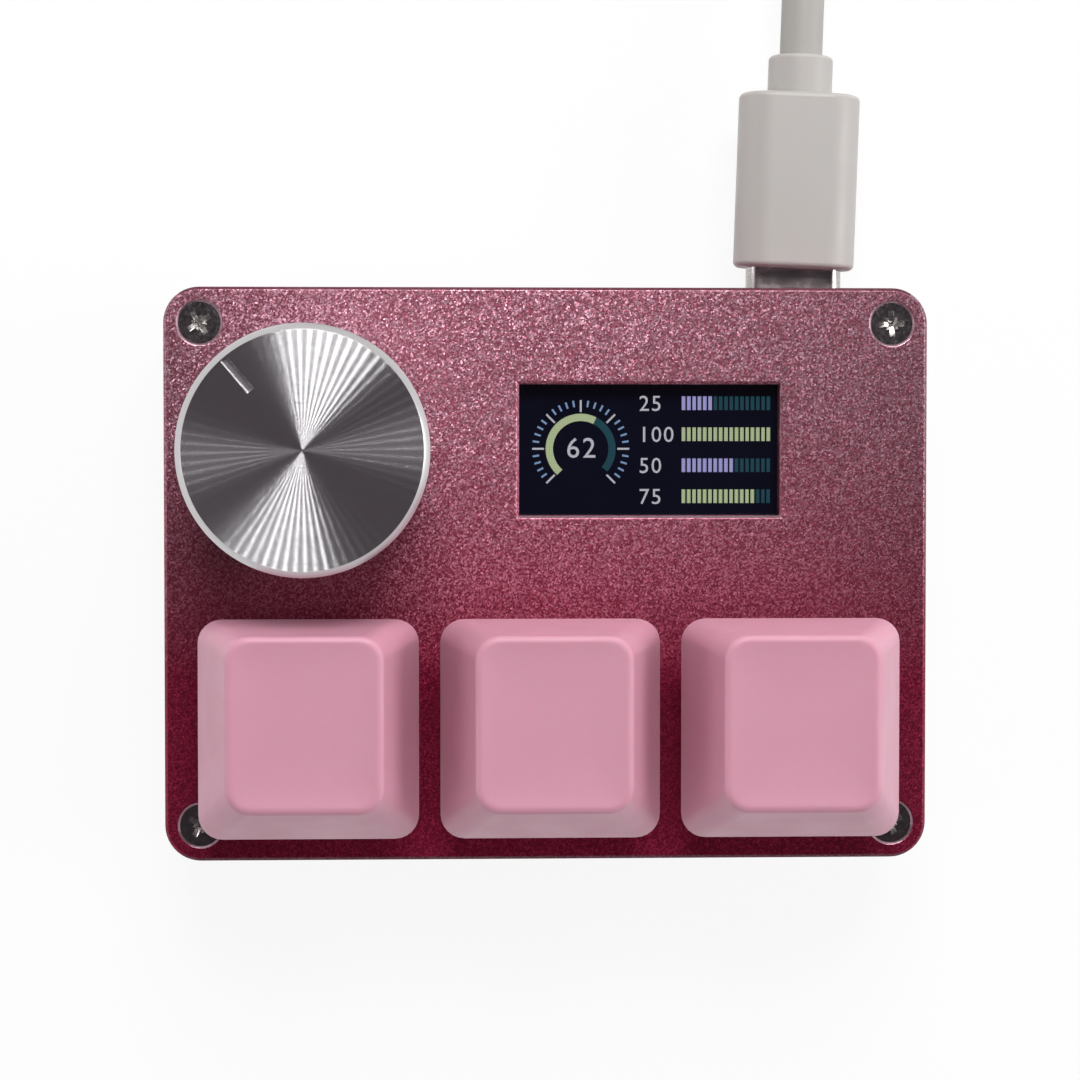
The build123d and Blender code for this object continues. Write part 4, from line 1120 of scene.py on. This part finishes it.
@dataclass
class Knob:
    """Turned aluminium knob: bright chamfer, flat spun face, engraved pointer and the grub screw's hole,
    with painted shade on the chamfer and in the pointer's groove.

    The pointer has a length, width and depth, and its slope the shares of the width that its tool has at
    its upper and lower end.
    """

    axis: tuple[float, float] = KNOB_AXIS[:2]
    radius: float = 10.0
    low: float = 16.7
    high: float = 29.3
    rim: float = 0.5
    foot: float = 0.3
    recess: float = 4.4
    recess_top: float = 21.7
    bore: float = 3.02
    bore_top: float = 27.6
    pointer_angle: float = 130.6
    pointer: Point = (3.9, 0.65, 0.4)
    pointer_slope: tuple[float, float] = (1.35, 0.65)
    pointer_end: float = 0.2
    grub_height: float = 25.9
    grub_radius: float = 1.52

    def at(self, reach: float, angle: float, height: float) -> Point:
        """Gives the point at a distance and direction from the axis."""
        turn = math.radians(angle)
        return (self.axis[0] + reach * math.cos(turn), self.axis[1] + reach * math.sin(turn), height)

    def upright(self, low: float, high: float) -> tuple[Point, Point]:
        """Gives the axis between two heights."""
        return (*self.axis, low), (*self.axis, high)

    def groove(self) -> bpy.types.Object:
        """Models the tool for the pointer: a bar with sloping sides, from the chamfer inwards."""
        length, width, depth = self.pointer
        length -= self.rim
        centre = (self.axis[0] + self.radius - self.rim - length / 2, self.axis[1], self.high)
        above, below = (width * share for share in self.pointer_slope)
        bar = Bench.box("pointer_tool", (length, above, 2 * depth), centre)
        Keycaps.taper(bar, lambda mid, normal: normal.z < -0.9, (length - self.pointer_end, below), 0.0)
        return Bench.turned(bar, self.pointer_angle, (*self.axis, 0))

    def build(self) -> None:
        """Turns the knob, cuts it and gives it its finish."""
        knob = Bench.drum("knob_turned", self.radius, self.upright(self.low, self.high), 256)
        Bench.edges(knob, lambda a, b: min(a.z, b.z) > self.high - 0.01)
        Bench.round_selected(self.rim, 1)
        Bench.edges(knob, lambda a, b: max(a.z, b.z) < self.low + 0.01)
        Bench.round_selected(self.foot, 1)
        opposite = self.pointer_angle + 180
        grub = [self.at(reach, opposite, self.grub_height) for reach in (1.0, self.radius + 1)]
        Bench.cut(
            knob,
            Bench.drum("recess_tool", self.recess, self.upright(self.low - 1, self.recess_top), 96),
            Bench.drum("bore_tool", self.bore, self.upright(self.low - 1, self.bore_top), 96),
            Bench.drum("grub_tool", self.grub_radius, grub, 32),
            self.groove(),
        )
        dress(Bench.smooth(knob, 0.05, 30), "knob_metal", "knob", ("knob",))
        knob.data.materials.append(FINISHES["knob_rim_painted_shade"].material())
        # Faces of the chamfer and the pointer's groove get the darker metal, painted shade.
        for face in knob.data.polygons:
            face.material_index = int(self.high - self.rim < face.center.z / MM < self.high - 0.03)


@dataclass
class PlateScrews:
    """Four countersunk screws with tapered cross recesses.

    An arm has a length, width and depth, and its foot the shares of the first two. The flare has the radius
    of its foot and its mouth, and a depth, and the recess the reach and depth of its own finish.
    """

    turns: tuple[float, ...] = (32, 4, 58, 21)
    head_top: float = 14.14
    head: float = 1.75
    shank: float = 1.0
    end: float = 7.3
    arm: Point = (2.25, 0.47, 0.42)
    arm_foot: tuple[float, float] = (0.1, 0.7)
    flare: Point = (0.12, 0.78, 0.6)
    # The recess's own finish is a brighter steel, painted highlight.
    recess: tuple[float, float] = (1.2, 0.7)

    def arm_tool(self, turn: float) -> bpy.types.Object:
        """Models one arm of the recess, narrower towards its foot."""
        length, width, depth = self.arm
        middle = self.head_top - depth / 2 + 0.01
        tool = Bench.box("arm_tool", (length, width, depth + 0.02), (0, 0, middle))
        size = (length * self.arm_foot[0], width * self.arm_foot[1])
        Keycaps.taper(tool, lambda mid, normal: normal.z < -0.9, size, 0.0)
        return Bench.turned(tool, turn, (0, 0, 0))

    def shape(self) -> bpy.types.Object:
        """Models one screw on the upright axis."""
        throat = self.head_top - (self.head - self.shank)
        screw = Bench.drum("screw_form", self.shank, ((0, 0, self.end), (0, 0, throat + 0.02)), 32)
        cone = Bench.drum("screw_head", self.shank, ((0, 0, throat), (0, 0, self.head_top)), 64, self.head)
        Bench.fuse(screw, cone)
        foot, mouth, depth = self.flare
        flare_ends = ((0, 0, self.head_top - depth), (0, 0, self.head_top + 0.1))
        flare = Bench.drum("flare", foot, flare_ends, 4, mouth)
        Bench.turned(flare, 45, (0, 0, 0))
        Bench.cut(screw, self.arm_tool(0), self.arm_tool(90), flare)
        return Bench.smooth(screw, 0.05, 30)

    def build(self) -> None:
        """Models one screw and sets four of them at their own turns."""
        first = self.shape()
        copies = [
            Bench.turned(Bench.moved(first, f"screw_{k}", (x, y, 0)), turn, (x, y, 0))
            for k, ((x, y), turn) in enumerate(zip(SCREW_PLACES, self.turns))
        ]
        bpy.data.objects.remove(first)
        screws = dress(Bench.join("plate_screws_turned", copies), "screw_steel", "case", ("plate_screws",))
        screws.data.materials.append(FINISHES["recess_steel_painted_highlight"].material())
        # Faces inside the recesses get the brighter steel, painted highlight.
        reach, depth = self.recess
        for face in screws.data.polygons:
            mid = face.center / MM
            away = min(math.hypot(mid.x - x, mid.y - y) for x, y in SCREW_PLACES)
            face.material_index = int(away < reach and self.head_top - depth < mid.z < self.head_top - 0.03)


class Glow(Enum):
    """Colours that the screen shows."""

    PALE = (0.50, 0.50, 0.55)
    LAVENDER = (0.34, 0.32, 0.62)
    GREEN = (0.42, 0.50, 0.28)
    TEAL = (0.010, 0.055, 0.07)
    SKY = (0.20, 0.32, 0.52)

    def material(self) -> bpy.types.Material:
        """Gives the light of one colour, with the screen's dots in it."""
        name = f"screen_{self.name.lower()}"
        found = bpy.data.materials.get(name)
        if found:
            return found
        made = bpy.data.materials.new(name)
        graph = Graph.emptied(made)
        axes = graph.axes(graph.millimetres())
        half_dot = 0.068
        dots = [graph.math("PINGPONG", axes[axis], half_dot) for axis in ("X", "Y")]
        gap = graph.between(graph.math("MINIMUM", *dots), 0.004, 0.016, 0.35, 1.0)
        shader = graph.node(
            "ShaderNodeBsdfPrincipled",
            {
                "Base Color": (0.004, 0.004, 0.01),
                "Roughness": 0.2,
                "Emission Color": graph.mix(gap, (0.0, 0.0, 0.0), self.value),
                "Emission Strength": 1.0,
            },
        )
        graph.node("ShaderNodeOutputMaterial", {"Surface": shader.outputs[0]})
        return made


@dataclass
class Screen:
    """Glass of the small screen, and the level display on it: a dial, bars and plain numbers.

    Ticks and arc give how many, the degrees between two and the reach from the dial's middle. Blocks give
    how many, where the first stands and their pitch. Digits give their height and lower left corner.
    """

    centre: tuple[float, float] = (8.6, 10.4)
    glass: Point = (27.5, 13.0, 0.9)
    glass_shift: float = 1.2
    face: float = 12.5
    skin: float = 0.012
    digit_share: float = 0.7
    dial_centre: tuple[float, float] = (-5.7, 0.1)
    dial_start: float = 225.0
    ticks: tuple[int, float, float] = (31, 9.0, 4.1)
    tick_lengths: tuple[float, float] = (1.0, 0.55)
    tick_width: float = 0.16
    arc: tuple[int, float, float] = (44, 6.1, 2.65)
    arc_block: tuple[float, float] = (0.62, 0.3)
    arc_lit: int = 27
    dial_digits: Point = (1.7, -1.25, -0.75)
    rows: tuple[tuple[str, int], ...] = (("25", 6), ("100", 17), ("50", 10), ("75", 14))
    first_row: float = 3.95
    row_pitch: float = 2.62
    row_digits: Point = (1.3, -0.8, -0.65)
    blocks: tuple[int, float, float] = (17, 3.0, 0.45)
    block: tuple[float, float] = (0.3, 1.15)

    def mark(self, size: Sequence[float], place: Sequence[float], turn: float = 0.0) -> bpy.types.Object:
        """Lays one flat mark on the glass.

        Args:
            size: Its width and height.
            place: Its middle, from the screen's.
            turn: How far it is turned, in degrees.

        Returns:
            The mark.
        """
        x, y = self.centre[0] + place[0], self.centre[1] + place[1]
        bar = Bench.box("mark", (size[0], size[1], self.skin), (x, y, self.face + self.skin))
        return Bench.turned(bar, turn, (x, y, 0)) if turn else bar

    def number(self, text: str, height: float, place: Sequence[float]) -> bpy.types.Object:
        """Sets one plain number on the glass.

        Args:
            text: The number.
            height: Height of its digits.
            place: Its lower left corner, from the screen's middle.

        Returns:
            The number as a mesh.
        """
        Bench.clear()
        bpy.ops.object.text_add()
        digits = bpy.context.object
        digits.data.body = text
        digits.data.size = height / self.digit_share * MM
        digits.data.extrude = self.skin / 2 * MM
        digits.data.resolution_u = 3
        digits.data.space_character = 1.12
        bpy.ops.object.convert(target="MESH")
        x, y = self.centre[0] + place[0], self.centre[1] + place[1]
        bpy.context.object.location = metres((x, y, self.face + self.skin))
        return Bench.named("digits")

    def ray(self, size: Sequence[float], reach: float, angle: float) -> bpy.types.Object:
        """Lays one mark that points away from the dial's middle.

        Args:
            size: Its length along the ray, and its width.
            reach: Distance of its middle from the dial's.
            angle: Direction of the ray, in degrees.

        Returns:
            The mark.
        """
        turn = math.radians(angle)
        x, y = self.dial_centre
        return self.mark(size, (x + reach * math.cos(turn), y + reach * math.sin(turn)), angle)

    def dial(self) -> None:
        """Lays a ring of ticks, a partly lit arc inside it and a plain number in the middle."""
        colours = (Glow.PALE, Glow.SKY, Glow.TEAL, Glow.GREEN)
        groups: dict[Glow, list[bpy.types.Object]] = {colour: [] for colour in colours}
        count, step, reach = self.ticks
        for k in range(count):
            fifth = k % 5 == 0
            long = self.tick_lengths[0 if fifth else 1]
            tick = self.ray((long, self.tick_width), reach - long / 2, self.dial_start - step * k)
            groups[Glow.PALE if fifth else Glow.SKY].append(tick)
        count, step, reach = self.arc
        for k in range(count):
            block = self.ray(self.arc_block, reach, self.dial_start - step * k)
            groups[Glow.GREEN if k < self.arc_lit else Glow.TEAL].append(block)
        for colour, marks in groups.items():
            self.show(f"screen_dial_{colour.name.lower()}", marks, colour)
        height, left, low = self.dial_digits
        place = (self.dial_centre[0] + left, self.dial_centre[1] + low)
        self.show("screen_dial_value", [self.number("62", height, place)], Glow.PALE)

    def levels(self) -> None:
        """Lays four rows: a plain number, and a bar of short blocks that are lit up to its level."""
        lit, unlit, second, numbers = [], [], [], []
        count, start, step = self.blocks
        height, left, low = self.row_digits
        for row, (value, level) in enumerate(self.rows):
            y = self.first_row - self.row_pitch * row
            numbers.append(self.number(value, height, (left, y + low)))
            for k in range(count):
                group = unlit if k >= level else (lit if row % 2 else second)
                group.append(self.mark(self.block, (start + step * k, y)))
        self.show("screen_level_numbers", numbers, Glow.PALE)
        self.show("screen_levels_green", lit, Glow.GREEN)
        self.show("screen_levels_lavender", second, Glow.LAVENDER)
        self.show("screen_levels_unlit", unlit, Glow.TEAL)

    @staticmethod
    def show(name: str, marks: list[bpy.types.Object], colour: Glow) -> None:
        """Joins marks of one colour into a piece of the screen."""
        dress(Bench.join(name, marks), "screen_glass", "case", look=colour.material())

    def build(self) -> None:
        """Models the glass and lays its display."""
        middle = (self.centre[0] + self.glass_shift, self.centre[1], self.face - self.glass[2] / 2)
        glass = Bench.box("lcd_glass", self.glass, middle)
        dress(Bench.smooth(glass, 0.06), "screen_glass", "case", ("lcd_panel",))
        self.dial()
        self.levels()


@dataclass
class UsbPlug:
    """White moulding of the USB-C plug, with its collar."""

    axis: tuple[float, float] = (21.7, 6.07)
    front: float = 26.1
    size: Point = (10.4, 15.0, 6.3)
    corner: float = 2.9
    edge: float = 0.45
    lean: float = -2.0
    collar: tuple[float, float] = (2.78, 3.3)
    collar_sunk: float = 2.0
    collar_edge: float = 0.35
    nose: Point = (8.25, 3.0, 2.4)

    def build(self) -> None:
        """Models the moulding and its collar, leans it and sinks the slot for the metal nose."""
        x, z = self.axis
        length = self.size[1]
        back = self.front + length
        body = Bench.box("plug_moulding", self.size, (x, self.front + length / 2, z))
        Bench.edges(body, lambda a, b: abs(a.y - b.y) > 1.0)
        Bench.round_selected(self.corner, 12)
        Bench.edges(body, lambda a, b: max(a.y, b.y) < self.front + 0.01 or min(a.y, b.y) > back - 0.01)
        Bench.round_selected(self.edge, 5)
        radius, reach = self.collar
        end = back + reach
        collar = Bench.drum("collar", radius, ((x, back - self.collar_sunk, z), (x, end, z)), 64)
        Bench.edges(collar, lambda a, b: min(a.y, b.y) > end - 0.01)
        Bench.round_selected(self.collar_edge, 4)
        Bench.fuse(body, collar)
        Bench.turned(body, self.lean, (x, self.front, 0))
        width, depth, height = self.nose
        slot = Bench.box("nose_tool", (width, 2 * depth, height), (x, self.front, z))
        Bench.edges(slot, lambda a, b: abs(a.y - b.y) > 1.0)
        Bench.round_selected(height * 0.49, 8)
        Bench.cut(body, slot)
        dress(Bench.smooth(body, 0.0, 40), "plug_white", "case", ("plug_overmould",))


@dataclass
class Lead:
    """USB lead: out of the plug, into a neat tied coil behind the case, and on to the host's plug.

    Changes of lane in and out start at a share of their turns, and the one change up at a turn and share of
    the whole winding. The second number is how much of a turn each takes.
    """

    radius: float = 1.85
    exit: Point = (22.339, 44.389, 6.07)
    centre: tuple[float, float] = (2.0, 88.5)
    coil_radius: float = 19.4
    low: float = 2.25
    turns: int = 7
    steps: int = 16
    lane_in: tuple[float, float] = (0.72, 0.26)
    lane_up: tuple[float, float] = (3.42, 0.28)
    lane_out: tuple[float, float] = (0.02, 0.26)
    real_length: float = 980.0
    with_pieces: tuple[str, ...] = (
        "plug_moulding",
        "plug_shell_finished",
        "plug_insulator",
        "coil_tie_finished",
        "host_plug_overmould_finished",
        "host_plug_shell_finished",
        "host_plug_insulator_finished",
    )

    def lead_points(self) -> list[Point]:
        """Gives the route from the plug to the coil."""
        return [
            self.exit,
            (22.583, 51.385, 6.07),
            (23.04, 58.99, 4.9),
            (23.64, 66.59, 3.4),
            (24.54, 74.29, 2.4),
            (25.94, 81.99, 2.25),
        ]

    def tail_points(self) -> list[Point]:
        """Gives the route from the coil to the host's plug."""
        return [
            (27.5, 96.5, 5.9),
            (26.7, 104.4, 4.9),
            (23.4, 111.7, 3.5),
            (18.0, 117.7, 2.5),
            (11.1, 121.9, 2.9),
            (3.4, 124.0, 3.9),
            (-3.6, 124.0, 3.9),
        ]

    @staticmethod
    def ease(share: float) -> float:
        """Goes smoothly from 0 to 1."""
        share = min(max(share, 0.0), 1.0)
        return share * share * (3 - 2 * share)

    def lane(self, turn: float) -> tuple[float, float]:
        """Gives the radial place and the layer of the cord at a point of its winding, in diameters.

        Args:
            turn: Whole and part turns from the start.

        Returns:
            Diameters out from the coil's middle radius, and diameters up from its lowest layer.
        """
        inward = sum(self.ease((turn - k - self.lane_in[0]) / self.lane_in[1]) for k in range(3))
        climb = self.ease((turn - self.lane_up[0]) / self.lane_up[1])
        outward = sum(self.ease((turn - k - self.lane_out[0]) / self.lane_out[1]) for k in (4, 5, 6))
        return 1.5 - inward + outward, climb

    def coil_points(self) -> list[Point]:
        """Gives the winding's route, inwards on the desk and outwards on top of it.

        Returns:
            Its control points. The curve runs inside them, so they stand out by that share.
        """
        shrink = (3 + math.cos(2 * math.pi / self.steps)) / 4
        points = []
        for step in range(self.turns * self.steps):
            turn = (step + 0.5) / self.steps
            out, up = self.lane(turn)
            reach = (self.coil_radius + 2 * self.radius * out) / shrink
            angle = 2 * math.pi * turn
            points.append(
                (
                    self.centre[0] + reach * math.cos(angle),
                    self.centre[1] + reach * math.sin(angle),
                    self.low + 2 * self.radius * up,
                )
            )
        return points

    def build(self) -> bpy.types.Object:
        """Makes the lead as one smooth spline with a round section."""
        route = [*self.lead_points(), *self.coil_points(), *self.tail_points()]
        curve = bpy.data.curves.new("usb_lead", "CURVE")
        curve.dimensions = "3D"
        curve.bevel_depth = self.radius * MM
        curve.bevel_resolution = 6
        curve.resolution_u = 6
        curve.use_fill_caps = True
        spline = curve.splines.new("NURBS")
        spline.points.add(len(route) - 1)
        for point, place in zip(spline.points, route):
            point.co = (*metres(place), 1.0)
        spline.order_u = 3
        spline.use_endpoint_u = True
        lead = bpy.data.objects.new("usb_lead", curve)
        bpy.context.scene.collection.objects.link(lead)
        dress(lead, "cord_white", "case", ("cord_lead", "cord_coil", "cord_tail"))
        metres(self.exit)
        return lead


# ---------------------------------------------------------------- studio


@dataclass
class Lamp:
    """A soft box."""

    name: str
    place: Point
    aim: Point
    size: tuple[float, float]
    watts: float

    def build(self) -> None:
        """Hangs the lamp and points it."""
        data = bpy.data.lights.new(self.name, "AREA")
        data.shape = "RECTANGLE"
        data.size, data.size_y = self.size[0] * MM, self.size[1] * MM
        data.energy = self.watts
        lamp = bpy.data.objects.new(self.name, data)
        bpy.context.scene.collection.objects.link(lamp)
        lamp.location = metres(self.place)
        lamp.rotation_euler = (metres(self.aim) - lamp.location).to_track_quat("-Z", "Y").to_euler()


@dataclass
class Studio:
    """Pale floor, soft lamps, a plain world and the camera."""

    eye: Point = (-10.23, 10.39, 249.3)
    aim: Point = (-0.61, 2.86, 14.3)
    lens: float = 93.6
    floor_size: float = 6000.0

    def camera(self) -> None:
        """Sets the camera above the keypad, level with its edges."""
        data = bpy.data.cameras.new("camera")
        data.lens, data.sensor_width = self.lens, 36.0
        data.clip_start, data.clip_end = 0.01, 50.0
        camera = bpy.data.objects.new("camera", data)
        bpy.context.scene.collection.objects.link(camera)
        back = (metres(self.eye) - metres(self.aim)).normalized()
        right = Vector((0, 1, 0)).cross(back).normalized()
        axes = Matrix((right, back.cross(right), back)).transposed()
        camera.matrix_world = Matrix.Translation(metres(self.eye)) @ axes.to_4x4()
        bpy.context.scene.camera = camera

    def floor(self) -> None:
        """Lays the pale floor, which shows near white and keeps the shadow."""
        Bench.clear()
        bpy.ops.mesh.primitive_plane_add(size=self.floor_size * MM, location=(0, 0, 0))
        floor = Bench.named("floor")
        material = bpy.data.materials.new("floor")
        graph = Graph.emptied(material)
        matt = graph.node("ShaderNodeBsdfDiffuse", {"Color": (0.9, 0.9, 0.9)})
        glow = graph.node("ShaderNodeEmission", {"Color": (1.0, 1.0, 1.0), "Strength": 1.0})
        path = graph.node("ShaderNodeLightPath")
        seen = graph.math("ADD", path.outputs["Is Camera Ray"], path.outputs["Is Glossy Ray"])
        seen = graph.math("ADD", seen, path.outputs["Is Transmission Ray"], clamp=True)
        share = graph.math("MULTIPLY", seen, 0.9)
        both = graph.node("ShaderNodeMixShader", {0: share, 1: matt.outputs[0], 2: glow.outputs[0]})
        graph.node("ShaderNodeOutputMaterial", {"Surface": both.outputs[0]})
        floor.data.materials.append(material)

    def world(self) -> None:
        """Makes the surroundings: white near the horizon and dim overhead."""
        world = bpy.data.worlds.new("studio")
        bpy.context.scene.world = world
        graph = Graph.emptied(world)
        height = graph.axes(graph.node("ShaderNodeTexCoord").outputs["Generated"])["Z"]
        tone = graph.mix(graph.between(height, 0.25, 0.6), (0.9, 0.9, 0.9), (0.060, 0.050, 0.057))
        sky = graph.node("ShaderNodeBackground", {"Color": tone, "Strength": 1.0})
        graph.node("ShaderNodeOutputWorld", {"Surface": sky.outputs[0]})

    def build(self) -> None:
        """Sets up the whole studio."""
        bpy.context.scene.view_settings.view_transform = "Standard"
        self.camera()
        self.floor()
        self.world()
        Lamp("window_lamp", (33.0, 330.0, 420.0), (-5.0, 5.0, 15.0), (290.0, 220.0), 2.5).build()
        Lamp("left_lamp", (-620.0, -60.0, 360.0), (0.0, 0.0, 15.0), (300.0, 300.0), 0.65).build()
        Lamp("right_lamp", (640.0, 40.0, 360.0), (0.0, 0.0, 15.0), (300.0, 300.0), 1.9).build()


SOFT_EDGES = {
    "case_tray": 0.15,
    "rubber_feet": 0.15,
    "coil_tie": 0.1,
    "encoder_housing": 0.1,
    "encoder_bracket": 0.08,
    "host_plug_overmould": 0.1,
    "host_plug_shell": 0.06,
    "host_plug_insulator": 0.08,
    "plug_shell": 0.05,
    "usb_socket_shell": 0.05,
    **{f"switch_bottom_{side}": 0.1 for side in SIDES},
    **{f"switch_top_{side}": 0.12 for side in SIDES},
    **{f"switch_stem_{side}": 0.08 for side in SIDES},
}


def main() -> None:
    """Builds the keypad's pieces and the studio in order."""
    logging.basicConfig(level=logging.INFO, format="%(name)s %(message)s")
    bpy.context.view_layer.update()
    PackedNodes.build()
    Studio().build()
    TopPlate().build()
    Keycaps().build()
    Knob().build()
    PlateScrews().build()
    Screen().build()
    UsbPlug().build()
    Softened(SOFT_EDGES).build()
    Flexed().build()
    Lead().build()


if __name__ == "__main__":
    main()
